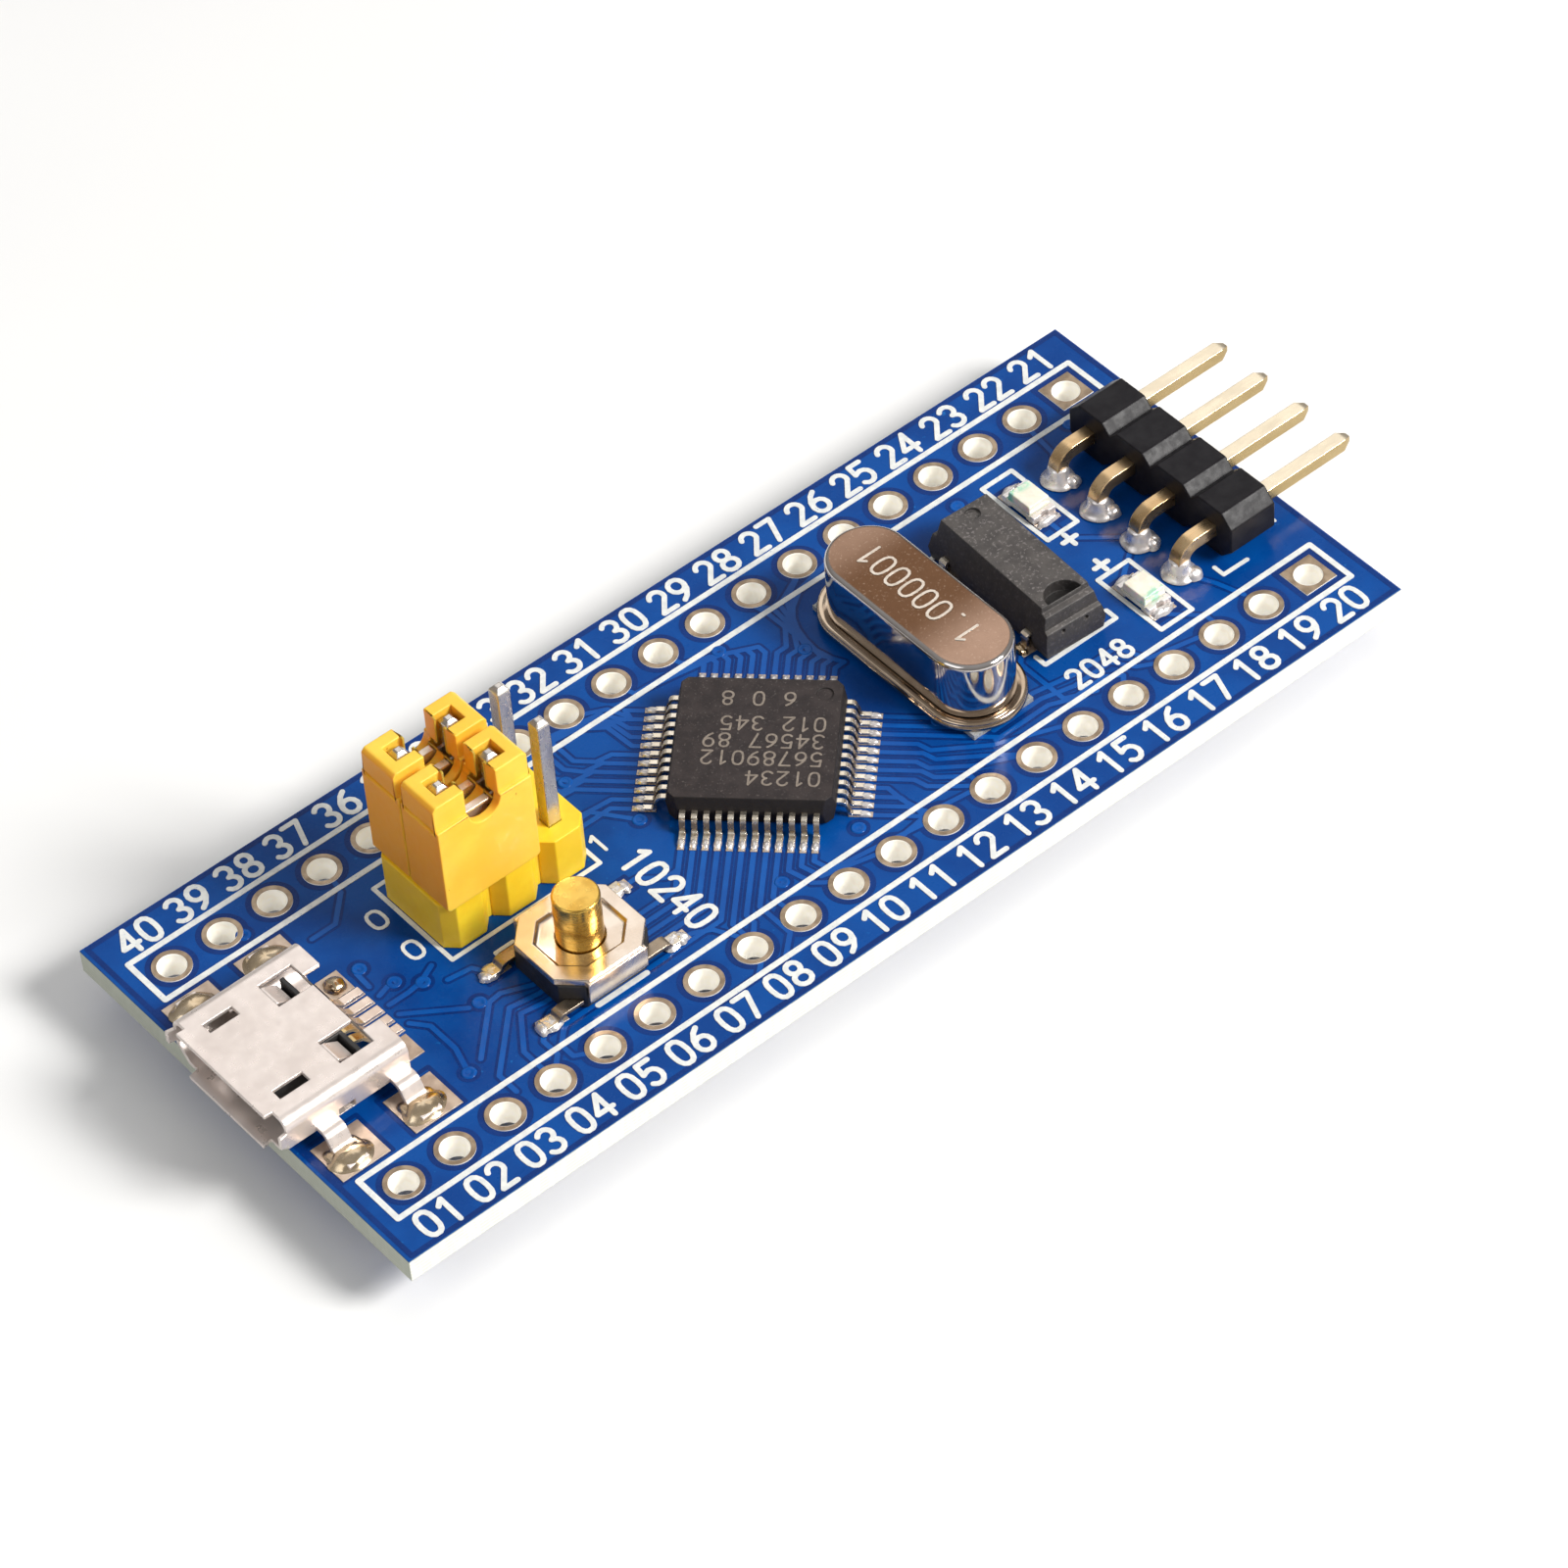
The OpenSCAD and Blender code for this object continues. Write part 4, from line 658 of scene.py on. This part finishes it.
# left side (towards -X +Y): out, then bent round to the far row and towards the boot header
for i in range(12):
    p = mcu_pt(1, i, 4.95)
    if i < 5:
        k = 0.35 + 0.42 * (4 - i) * 0.3
        q = (p[0] - k * S2, p[1] + k * S2)
        TRACES.append([p, q, (q[0] - 0.1, 5.6 + 0.05 * i), (q[0] - 0.5 - 0.15 * i, 6.6), (HOLE_X[8 - (i + 1) // 2] + 0.3, 7.2)])
    elif i < 10:
        j = i - 5
        k = 1.15 + 0.34 * j
        q = (p[0] - k * S2, p[1] + k * S2)
        TRACES.append([p, q, (q[0] - 0.75 - 0.1 * j, q[1] + 0.12), (q[0] - 1.4, q[1] + 0.8), (q[0] - 1.4, 6.6), (HOLE_X[6 - j // 2] + 0.3, 7.2)])
    else:
        q = (p[0] - 0.9 * S2, p[1] + 0.9 * S2)
        TRACES.append([p, q, (-7.9, q[1] + (0.25 if i == 10 else 0.0))])
# upper side (towards +X +Y)
for i in range(12):
    p = mcu_pt(0, i, 4.95)
    k = 0.5 + 0.16 * min(i, 11 - i)
    q = (p[0] + k * S2, p[1] + k * S2)
    if i < 6:
        TRACES.append([p, q, (q[0] + 0.5, q[1]), (min(6.2, q[0] + 1.2), min(5.9, q[1] + 0.9)), (6.1 + 0.35 * i, 6.3), (HOLE_X[12] + 2.54 * (i // 2) - 0.4, 7.1)])
    else:
        TRACES.append([p, q, (q[0], q[1] + 0.45), (HOLE_X[9 + (11 - i) // 3] + 0.35, 6.5), (HOLE_X[9 + (11 - i) // 3] + 0.15, 7.1)])
# USB contacts, vias, LEDs, debug header
TRACES += [
    [(-18.95, 0.65), (-18.3, 0.85)], [(-18.95, 0.0), (-17.95, 0.0), (-17.3, 0.08), (-16.4, 0.5)], [(-18.95, 1.3), (-18.9, 2.2)],
    [(-16.4, -0.55), (-15.3, -0.72), (-14.95, -1.35)], [(-18.95, -1.3), (-18.4, -2.0), (-18.4, -3.6), (-18.78, -4.9)], [(-18.95, -0.65), (-16.7, -2.3)],
    [(18.3, 2.1), (18.3, 0.9), (19.6, -0.3), (20.3, -0.9)], [(18.25, -2.5), (18.9, -2.0), (19.6, -1.5)], [(18.25, -5.2), (19.4, -6.4), (19.4, -7.0)],
    [(12.4, -2.75), (11.9, -3.2), (11.9, -5.9), (13.2, -6.5)], [(20.3, 3.81), (21.2, 5.2), (21.4, 6.8)], [(20.3, -3.81), (21.0, -5.3), (21.4, -6.6)],
    [(-8.35, -1.5), (-7.4, -1.5), (-6.5, -2.3), (-5.9, -2.3)], [(-8.35, -5.2), (-7.6, -5.35), (-6.9, -5.75), (-6.4, -6.7)], [(-7.4, 2.6), (-6.5, 2.6), (-5.26, 0.89)],
    [(-19.1, 4.9), (-17.9, 4.9), (-16.7, 6.1), (-16.5, 6.9)],
]
UNDER = []
for i, x in enumerate(HOLE_X[1:-1:2]):
    s = 1 if i % 2 else -1
    UNDER.append([(x, s * 6.9), (x, s * 5.6), (x + 1.6 * (1 if x < 0 else -1), s * 4.0), (x + 1.6 * (1 if x < 0 else -1), s * 1.2)])
for y in (-1.6, -0.8, 0.0, 0.8, 1.6):
    UNDER.append([(-15.4 + abs(y), y), (-7.9, y), (-7.3, y + 0.4), (8.0 - abs(y), y + 0.4)])

gaps, runs, ugaps, uruns = Shape(), Shape(), Shape(), Shape()


def disc(x, y, r, n=28):
    return [Vector((x + r * math.cos(2 * math.pi * k / n), y + r * math.sin(2 * math.pi * k / n))) for k in range(n)]


# nothing of these layers crosses a plated hole or a soldered pin
for sh in (gaps, runs, ugaps, uruns):
    for sy in (-1, 1):
        for i, x in enumerate(HOLE_X):
            sq = [Vector((x + a, sy * ROW_Y + c)) for a, c in ((-0.86, -0.86), (0.86, -0.86), (0.86, 0.86), (-0.86, 0.86))]
            sh.cut.append(sq if i == len(HOLE_X) - 1 else disc(x, sy * ROW_Y, 0.86))
    for x, y in [(SWD_X, v) for v in SWD_Y] + [(x, y) for x in BOOT_X for y in BOOT_Y] + [(CAN_X, -2.44), (CAN_X, 2.44)]:
        sh.cut.append(disc(x, y, 0.80, 20))
for t in dedupe(TRACES):
    gaps.stroke(t, 0.46, 0.0, 0.006)
    runs.stroke(t, 0.23, 0.0, 0.018)
for t in dedupe(UNDER):
    ugaps.stroke(t, 0.50, BOT - 0.006, BOT)
    uruns.stroke(t, 0.26, BOT - 0.018, BOT)
# clearance round each ring, and the copper held back from the board's edges
for top, sh in ((True, gaps), (False, ugaps)):
    z0, z1 = (0.0, 0.006) if top else (BOT - 0.006, BOT)
    for sy in (-1, 1):
        for i, x in enumerate(HOLE_X):
            if i == len(HOLE_X) - 1:
                sh.stroke([(x + a, sy * ROW_Y + c) for a, c in ((-1.0, -1.0), (1.0, -1.0), (1.0, 1.0), (-1.0, 1.0))], 0.24, z0, z1, True)
            else:
                sh.stroke([(x + 0.99 * math.cos(a), sy * ROW_Y + 0.99 * math.sin(a)) for a in [2 * math.pi * k / 28 for k in range(28)]], 0.24, z0, z1, True)
    e = 0.16
    sh.stroke([(-HALF_L + 0.27, -HALF_W + e), (HALF_L - e, -HALF_W + e), (HALF_L - e, HALF_W - e), (-HALF_L + 0.27, HALF_W - e)], 0.24, z0, z1, True)
for x0, x1, y0, y1 in [(-25.87, -23.52, 3.6, 6.0), (-22.25, -19.9, 3.6, 6.0), (-25.87, -23.52, -6.0, -3.6), (-22.25, -19.9, -6.0, -3.6)]:
    gaps.stroke([(x0 - 0.12, y0), (x1 + 0.12, y0), (x1 + 0.12, y1 + 0.12 if y1 > 0 else y1), (x0 - 0.12, y1 + 0.12 if y1 > 0 else y1)], 0.2, 0.0, 0.006, True)
for px, py in LEDS:
    gaps.stroke([(px - 0.78, py - 1.5), (px + 0.78, py - 1.5), (px + 0.78, py + 1.5), (px - 0.78, py + 1.5)], 0.2, 0.0, 0.006, True)
for x in (-15.2, -8.9):
    for y in (-5.2, -1.5):
        gaps.stroke([(x - 0.12, y - 0.42), (x + 1.22, y - 0.42), (x + 1.22, y + 0.42), (x - 0.12, y + 0.42)], 0.2, 0.0, 0.006, True)

VIAS = [(-18.67, 2.34), (-18.06, 0.83), (-17.2, 0.04), (-18.78, -4.94), (-5.26, 0.89), (1.0, -5.56), (-6.2, 4.6), (5.9, 3.6), (7.3, -3.3), (-16.2, -2.35), (3.2, 6.0), (12.0, 6.0), (16.1, 5.6), (-3.2, -5.7), (22.9, 6.0), (-21.0, 7.0)]
vias, uvias = Shape(), Shape()
for i, (x, y) in enumerate(VIAS):
    gaps.stroke([(x + 0.42 * math.cos(a), y + 0.42 * math.sin(a)) for a in [2 * math.pi * k / 20 for k in range(20)]], 0.16, 0.0, 0.006, True)
    for sh, z, up in ((vias, 0.0, 1), (uvias, BOT, -1)):
        sh.lathe((x, y, z), [(0.33, 0.0), (0.32, 0.02), (0.26, 0.035), (0.19, 0.03), (0.13, 0.008), (0.05, 0.004)], 18, up=up, wob=0.05, seed=i)
gaps.obj("mask_over_gaps", "mask_gap", smooth=30)
runs.obj("mask_over_traces", "mask_copper", smooth=30)
vias.obj("tented_vias", "mask_copper", smooth=60)
ugaps.obj("underside_mask_over_gaps", "mask_gap", smooth=30)
uruns.obj("underside_mask_over_traces", "mask_copper", smooth=30)
uvias.obj("underside_tented_vias", "mask_copper", smooth=60)

# ---------------------------------------------------------------- printing on the board
silk, usilk = Shape(), Shape()
Z0, Z1 = 0.0, 0.03
LW = 0.26


def frame_line(sh, x0, x1, y0, y1, w=LW, z=(Z0, Z1)):
    sh.stroke([(x0, y0), (x1, y0), (x1, y1), (x0, y1)], w, z[0], z[1], True)


for s in (-1, 1):
    ya, yb = sorted((s * 6.35, s * 8.89))
    frame_line(silk, -25.4, 25.4, ya, yb)
    frame_line(usilk, -25.4, 25.4, ya, yb, LW, (BOT - 0.03, BOT))
for i, x in enumerate(HOLE_X):
    near, far = "%02d" % (i + 1), "%02d" % (40 - i)
    write(silk, near, (x - 0.93, -10.52), (1, 0), (0, 1), 1.30, 0.235, Z0, Z1, 0.80, 0.98)
    write(silk, far, (x - 0.93, 9.22), (1, 0), (0, 1), 1.30, 0.235, Z0, Z1, 0.80, 0.98)
    for s, y, t in ((-1, -9.25, near), (1, 10.5, far)):
        write(usilk, t, (x - 0.93, y), (1, 0), (0, -1), 1.25, 0.22, BOT - 0.03, BOT, 0.80, 0.98)
# boot header frame and its two settings
silk.stroke([(-15.6, 5.35), (-15.6, 0.15), (-7.95, 0.15), (-7.95, 5.35), (-15.6, 5.35)], 0.2, Z0, Z1)
write(silk, "0", (-16.9, 3.42), (1, 0), (0, 1), 1.0, 0.16, Z0, Z1, 0.8, 1.25)
write(silk, "0", (-16.8, 1.15), (1, 0), (0, 1), 1.0, 0.16, Z0, Z1, 0.8, 1.25)
write(silk, "1", (-7.55, 3.45), (1, 0), (0, 1), 0.95, 0.16, Z0, Z1)
write(silk, "1", (-7.62, 0.55), (1, 0), (0, 1), 0.95, 0.16, Z0, Z1)
# five numerals beside the button
write(silk, "10240", (-7.42, -0.32), (0, -1), (1, 0), 1.32, 0.235, Z0, Z1, 0.79, 0.98)
silk.stroke([(-12.8, -5.72), (-10.3, -5.72)], 0.26, Z0, Z1)
silk.stroke([(-14.1, -0.95), (-14.1, -0.75), (-13.2, -0.75)], 0.18, Z0, Z1)
# cylinder crystal's corners
for s in (-1, 1):
    silk.stroke([(12.63, s * 3.35), (12.63, s * 3.95), (16.58, s * 3.95), (16.58, s * 3.35)], 0.22, Z0, Z1)
write(silk, "2048", (12.75, -5.95), (1, 0), (0, 1), 1.05, 0.2, Z0, Z1, 0.80, 0.98)
# LEDs
for (x0, x1, y0, y1) in ((17.53, 19.20, 1.40, 5.60), (17.50, 19.24, -5.75, -1.80)):
    frame_line(silk, x0, x1, y0, y1, 0.22)
for x, y in ((18.25, 0.82), (18.2, -1.22)):
    silk.stroke([(x - 0.36, y), (x + 0.36, y)], 0.25, Z0, Z1)
    silk.stroke([(x, y - 0.36), (x, y + 0.36)], 0.25, Z0, Z1)
# debug header
silk.stroke([(21.57, 5.2), (22.9, 5.2)], 0.2, Z0, Z1)
silk.stroke([(21.57, -4.6), (21.57, -5.17), (22.9, -5.19)], 0.2, Z0, Z1)
for y, ch in zip(SWD_Y, "1234"):
    write(silk, ch, (25.0, y - 0.5), (1, 0), (0, 1), 0.9, 0.16, Z0, Z1)
# underside outlines round the two banks of chip parts
for x0, x1, y0, y1 in ((-19.2, -16.0, -3.0, 0.6), (-15.2, -8.7, -5.5, -1.5), (11.2, 13.6, -1.6, 1.6), (-3.6, 3.6, -5.5, -3.7), (-3.6, 3.6, 3.7, 5.5)):
    frame_line(usilk, x0, x1, y0, y1, 0.18, (BOT - 0.03, BOT))
for t, x, y in (("1", -22.9, 3.1), ("2", -22.9, -0.1), ("3", -22.9, -3.7), ("4", -4.8, 3.2), ("5", -4.8, -4.6), ("6", 6.3, 3.4), ("7", 6.3, -4.4), ("8", 17.2, 0.8)):
    write(usilk, t, (x, y + 1.0), (1, 0), (0, -1), 0.9, 0.16, BOT - 0.03, BOT)
silk.obj("board_printing", "silk", smooth=30)
usilk.obj("underside_printing", "silk", smooth=30)

# ---------------------------------------------------------------- controller marking
marks = Shape()
# rows run towards -X +Y with their tops towards -X -Y, as the package is turned by an eighth
ROWS = [("01234", 2.8, -1.86), ("56789012", 2.8, -0.76), ("34567 89", 2.8, 0.22), ("012 345", 2.8, 1.18), ("6 0 8", 1.45, 2.58)]
for t, r, a in ROWS:
    write(marks, t, (MCU_X + S2 * (r + a), S2 * (a - r)), (-S2, S2), (-S2, -S2), 0.74, 0.095, 1.5, 1.508, 0.87, 1.05)
marks.obj("controller_marking", "laser_mark", smooth=30)

# numerals stamped in the metal crystal's lid
cm = Shape()
write(cm, "1.000001", (CAN_X + 0.62, -3.35), (0, 1), (-1, 0), 1.16, 0.125, CAN_TOP, CAN_TOP + 0.005, 0.76, 0.98)
cm.obj("crystal_marking", "can_mark", smooth=30)


# ---------------------------------------------------------------- metal crystal
def stadium_loft(sh, cx, r, half, prof, n=40):
    """Rings of a rounded slot outline; prof is (inset, level) from the outside up and over."""
    V, F = [], []
    for inset, z in prof:
        rr = max(0.02, r - inset)
        for sgn in (1, -1):
            for i in range(n + 1):
                a = math.pi * i / n if sgn > 0 else math.pi + math.pi * i / n
                V.append((cx + rr * math.cos(a), sgn * half + rr * math.sin(a), z))
    m = 2 * (n + 1)
    for j in range(len(prof) - 1):
        for i in range(m):
            F.append((j * m + i, j * m + (i + 1) % m, (j + 1) * m + (i + 1) % m, (j + 1) * m + i))
    F.append(tuple(range(m - 1, -1, -1)))
    F.append(tuple(range((len(prof) - 1) * m, len(prof) * m)))
    sh.add(V, F)


can = Shape()
R_CAN, HALF_CAN = 3.75 / 2, (10.1 - 3.75) / 2
fil = [(0.26 * (1 - math.cos(a)), CAN_TOP - 0.26 + 0.26 * math.sin(a)) for a in [math.radians(6 * k) for k in range(1, 16)]]
stadium_loft(can, CAN_X, R_CAN, HALF_CAN, [(0.30, 0.665), (0.02, 0.665), (-0.0, 0.70), (0.0, 0.95), (0.004, 1.9), (0.0, CAN_TOP - 0.28)] + fil + [(0.34, CAN_TOP + 0.001), (0.44, CAN_TOP - 0.012), (0.7, CAN_TOP - 0.014)])
o = can.obj("crystal_lid", "can_nickel", slot="can_nickel", smooth=55)
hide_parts("crystal_can")
base = Shape()
R_B, HALF_B = 4.65 / 2, (11.05 - 4.65) / 2
stadium_loft(base, CAN_X, R_B, HALF_B, [(0.5, 0.262), (0.06, 0.262), (0.015, 0.30), (0.0, 0.36), (0.005, 0.44), (0.05, 0.50), (0.075, 0.53), (0.06, 0.565), (0.035, 0.60), (0.045, 0.64), (0.11, 0.672), (0.20, 0.678), (0.30, 0.655), (0.38, 0.63), (0.47, 0.62), (0.9, 0.62)])
o = base.obj("crystal_flange", "flange_nickel", slot="can_nickel", smooth=60)
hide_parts("crystal_base")

# ---------------------------------------------------------------- solder
sol, warm = Shape(), Shape()
for k, y in enumerate(SWD_Y):
    prof = [(0.80, 0.05), (0.79, 0.09), (0.70, 0.16), (0.61, 0.26), (0.54, 0.41), (0.50, 0.58), (0.46, 0.74), (0.40, 0.86)]
    sol.lathe((SWD_X, y, 0), prof, 34, turn=0.3 * k, wob=0.08, seed=3.1 * k)
    sol.dome((SWD_X + 0.30, y - 0.52, 0.04), 0.40, 0.36, 0.38, turn=0.5 * k, wob=0.22, seed=7 + 2.3 * k, n=26)
for x, y in [(SWD_X, v) for v in SWD_Y] + [(x, y) for x in BOOT_X for y in BOOT_Y]:
    prof = [(0.86, 0.05), (0.86, 0.10), (0.78, 0.20), (0.68, 0.36), (0.58, 0.56), (0.50, 0.80), (0.44, 1.00), (0.37, 1.12)]
    sol.lathe((x, y, BOT), prof, 24, wob=0.12, seed=x + 2 * y, up=-1)
for s in (-1, 1):
    sol.lathe((CAN_X, s * 2.44, BOT), [(0.82, 0.05), (0.80, 0.10), (0.68, 0.22), (0.52, 0.42), (0.38, 0.62), (0.30, 0.76), (0.23, 0.84)], 22, wob=0.14, seed=s, up=-1)
# the receptacle's four feet
for s in (-1, 1):
    for k, x in enumerate((-24.85, -21.21)):
        sd = 5.3 * k + s
        warm.dome((x, s * 5.20, 0.045), 0.86, 0.62, 0.36, wob=0.14, seed=sd, n=32, flare=0.22)
        warm.dome((x + 0.50, s * 4.80, 0.045), 0.34, 0.55, 0.24, turn=0.2, wob=0.15, seed=sd + 9, n=22)
        warm.dome((x - 0.52, s * 4.85, 0.045), 0.32, 0.50, 0.22, turn=0.2, wob=0.15, seed=sd + 19, n=22)
# contact tails
for i in range(-2, 3):
    sol.dome((-19.42, i * 0.65, 0.045), 0.10, 0.19, 0.10, wob=0.15, seed=i, n=16)
warm.dome((-19.95, 2.25, 0.045), 0.42, 0.46, 0.34, wob=0.25, seed=4, n=22)
# controller's toes
for q in range(4):
    for i in range(12):
        a = math.radians(45 + 90 * q)
        p = mcu_pt(q, i, 4.60)
        sol.dome((p[0], p[1], 0.045), 0.30, 0.155, 0.15, turn=a, wob=0.16, seed=q * 12 + i, n=16, flare=0.10)
        p = mcu_pt(q, i, 4.06)
        sol.dome((p[0], p[1], 0.045), 0.14, 0.12, 0.13, turn=a, wob=0.25, seed=40 + q * 12 + i, n=12, flare=0.10)
# button's terminals
for sx in (-1, 1):
    for y in (-1.85, 1.85):
        sd = sx * 3 + y
        sol.dome((SW[0] + sx * 3.22, SW[1] + y, 0.045), 0.50, 0.40, 0.22, wob=0.5, seed=sd, n=24)
        sol.dome((SW[0] + sx * 3.52, SW[1] + y - 0.05, 0.045), 0.26, 0.34, 0.25, wob=0.5, seed=sd + 5, n=18)
# crystal's and LEDs' ends
ca, sa = math.cos(math.radians(-3)), math.sin(math.radians(-3))
for sx in (-1, 1):
    for y in (-2.75, 2.75):
        x = sx * 1.98
        warm.dome((WATCH_X + ca * x - sa * y, sa * x + ca * y, 0.045), 0.26, 0.34, 0.22, wob=0.35, seed=x + y, n=20)
for px, py in LEDS:
    for s in (-1, 1):
        sol.dome((px, py + s * 1.18, 0.045), 0.56, 0.24, 0.26, wob=0.35, seed=px + py + s, n=22)
o = sol.obj("solder_fillets", "solder", slot="solder", smooth=70)
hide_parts("solder_joints")
warm.obj("receptacle_solder", "solder_warm", slot="solder", smooth=70)


# ---------------------------------------------------------------- CAD nodes: finishes, and rounded copies
def paint(node, key):
    o = NODES[node]
    me = o.data
    me.materials.clear()
    me.materials.append(MATS[key].m)


KEEP = {
    "circuit_board": "board_mask", "surface_pads": "pad_tin", "usb_contacts": "contact_gold",
    "mcu_leads": "lead_tin", "crystal_spacer": "spacer_film", "crystal_glass_seals": "seal_glass", "crystal_leads": "pin_tin", "quartz_blank": "quartz",
    "watch_crystal_capsule": "can_nickel", "watch_crystal_leads": "lead_tin", "regulator_leads": "lead_tin", "reset_switch_dome": "dome_steel",
    "crystal_can": "can_nickel", "crystal_base": "can_nickel", "solder_joints": "solder",
}
ROUND = [
    # node, finish, radius of the rounded edges
    ("usb_shell", "shell_steel", 0.035), ("usb_insulator", "black_plastic", 0.03), ("mcu_package", "epoxy_package", 0.04),
    ("watch_crystal_body", "watch_plastic", 0.04), ("led_power_substrate", "led_ceramic", 0.02), ("led_power_lens", "led_epoxy", 0.05),
    ("led_user_substrate", "led_ceramic", 0.02), ("led_user_lens", "led_epoxy", 0.05), ("led_terminals", "solder", 0.02),
    ("swd_header_housing", "header_black", 0.06), ("swd_header_pins", "pin_gold", 0.04), ("boot_header_base", "header_yellow", 0.05),
    ("boot_header_pins", "pin_tin", 0.04), ("jumper_cap_0", "cap_orange", 0.065), ("jumper_clip_0", "clip_tin", 0.02), ("jumper_cap_1", "cap_orange", 0.065),
    ("jumper_clip_1", "clip_tin", 0.02), ("reset_switch_base", "switch_black", 0.05), ("reset_switch_cover", "cover_steel", 0.035),
    ("reset_switch_plunger", "plunger_brass", 0.06), ("reset_switch_terminals", "lead_tin", 0.03), ("regulator_body", "epoxy_package", 0.04),
    ("chip_capacitors", "capacitor_ceramic", 0.05), ("chip_resistors", "resistor_film", 0.03), ("chip_end_caps", "solder", 0.05),
]
for node, key in KEEP.items():
    paint(node, key)
for node, key, r in ROUND:
    o = refine(node, key, r)


def rim_of_hole(e):
    """The two mouths of a plated hole."""
    return all(min((v.co.x - x) ** 2 + (abs(v.co.y) - ROW_Y) ** 2 for x in HOLE_X) < 0.62 ** 2 for v in e.verts)


o = refine("plated_holes", "tinned_copper", 0.065, 2, only=rim_of_hole)
missed = set(NODES) - set(KEEP) - {r[0] for r in ROUND} - {"plated_holes"}
if missed:
    raise SystemExit("no finish for " + ", ".join(sorted(missed)))

# ---------------------------------------------------------------- floor, light, camera
FLOOR_Z = CAD_LO.z
me = bpy.data.meshes.new("floor")
g = 0.9
me.from_pydata([(-g, -g, 0), (g, -g, 0), (g, g, 0), (-g, g, 0)], [], [(0, 1, 2, 3)])
floor = bpy.data.objects.new("floor", me)
floor.location = (0, 0, FLOOR_Z - 0.00001)
bpy.context.scene.collection.objects.link(floor)
fm = Mat("floor_paper", (0.90, 0.90, 0.895), (0.86, 0.86, 0.855), blotch=9, rough=(0.55, 0.7), bump=0.02, bump_scale=1500, bump_strength=0.1, bevel=0.0)
me.materials.append(fm.m)


def softbox(name, loc, target, size, power, color=(1, 1, 1), size_y=None):
    ld = bpy.data.lights.new(name, "AREA")
    ld.shape = "RECTANGLE" if size_y else "SQUARE"
    ld.size = size
    if size_y:
        ld.size_y = size_y
    ld.energy = power
    ld.color = color
    o = bpy.data.objects.new(name, ld)
    o.location = loc
    o.rotation_euler = (Vector(target) - Vector(loc)).to_track_quat("-Z", "Y").to_euler()
    bpy.context.scene.collection.objects.link(o)
    return o


softbox("key", (0.20, -0.30, 0.30), (0, 0, 0), 0.16, 2.75, (1.0, 0.985, 0.96))
softbox("fill", (-0.30, -0.02, 0.28), (0, 0, 0), 0.24, 0.28, (0.93, 0.96, 1.0))
softbox("panel", (0.18, 0.24, 0.33), (0, 0, 0), 0.26, 0.20, (1.0, 0.985, 0.97))

w = bpy.data.worlds.new("studio")
bpy.context.scene.world = w
w.use_nodes = True
nt = w.node_tree
nt.nodes.clear()
wo = nt.nodes.new("ShaderNodeOutputWorld")
bg = nt.nodes.new("ShaderNodeBackground")
tc = nt.nodes.new("ShaderNodeTexCoord")
sx = nt.nodes.new("ShaderNodeSeparateXYZ")
nt.links.new(tc.outputs["Generated"], sx.inputs[0])
cr = nt.nodes.new("ShaderNodeValToRGB")
cr.color_ramp.elements[0].position = 0.0
cr.color_ramp.elements[0].color = (0.50, 0.48, 0.46, 1)
cr.color_ramp.elements[1].position = 1.0
cr.color_ramp.elements[1].color = (0.80, 0.80, 0.80, 1)
e = cr.color_ramp.elements.new(0.45)
e.color = (0.34, 0.31, 0.29, 1)
mr = nt.nodes.new("ShaderNodeMapRange")
mr.inputs["From Min"].default_value = -1
mr.inputs["From Max"].default_value = 1
nt.links.new(sx.outputs[2], mr.inputs["Value"])
nt.links.new(mr.outputs["Result"], cr.inputs["Fac"])
nt.links.new(cr.outputs["Color"], bg.inputs["Color"])
bg.inputs["Strength"].default_value = 0.5
nt.links.new(bg.outputs[0], wo.inputs[0])

cam = bpy.data.cameras.new("camera")
cam.sensor_width = 36.0
cam.lens = 6644.916 * 36.0 / 1600.0
cam.clip_start, cam.clip_end = 0.01, 5.0
co = bpy.data.objects.new("camera", cam)
bpy.context.scene.collection.objects.link(co)
RIGHT = (0.76297523, -0.64406527, -0.05521522)
UP = (0.50374032, 0.53885975, 0.67518579)
BACK = (-0.40511046, -0.54296417, 0.73557829)
POS = (-0.10781473, -0.14659480, 0.19638398)
co.matrix_world = Matrix([[RIGHT[i], UP[i], BACK[i], POS[i]] for i in range(3)] + [[0, 0, 0, 1]])
bpy.context.scene.camera = co
bpy.context.scene.view_settings.view_transform = "Standard"
bpy.context.scene.view_settings.look = "None"
bpy.context.scene.view_settings.exposure = 0.0
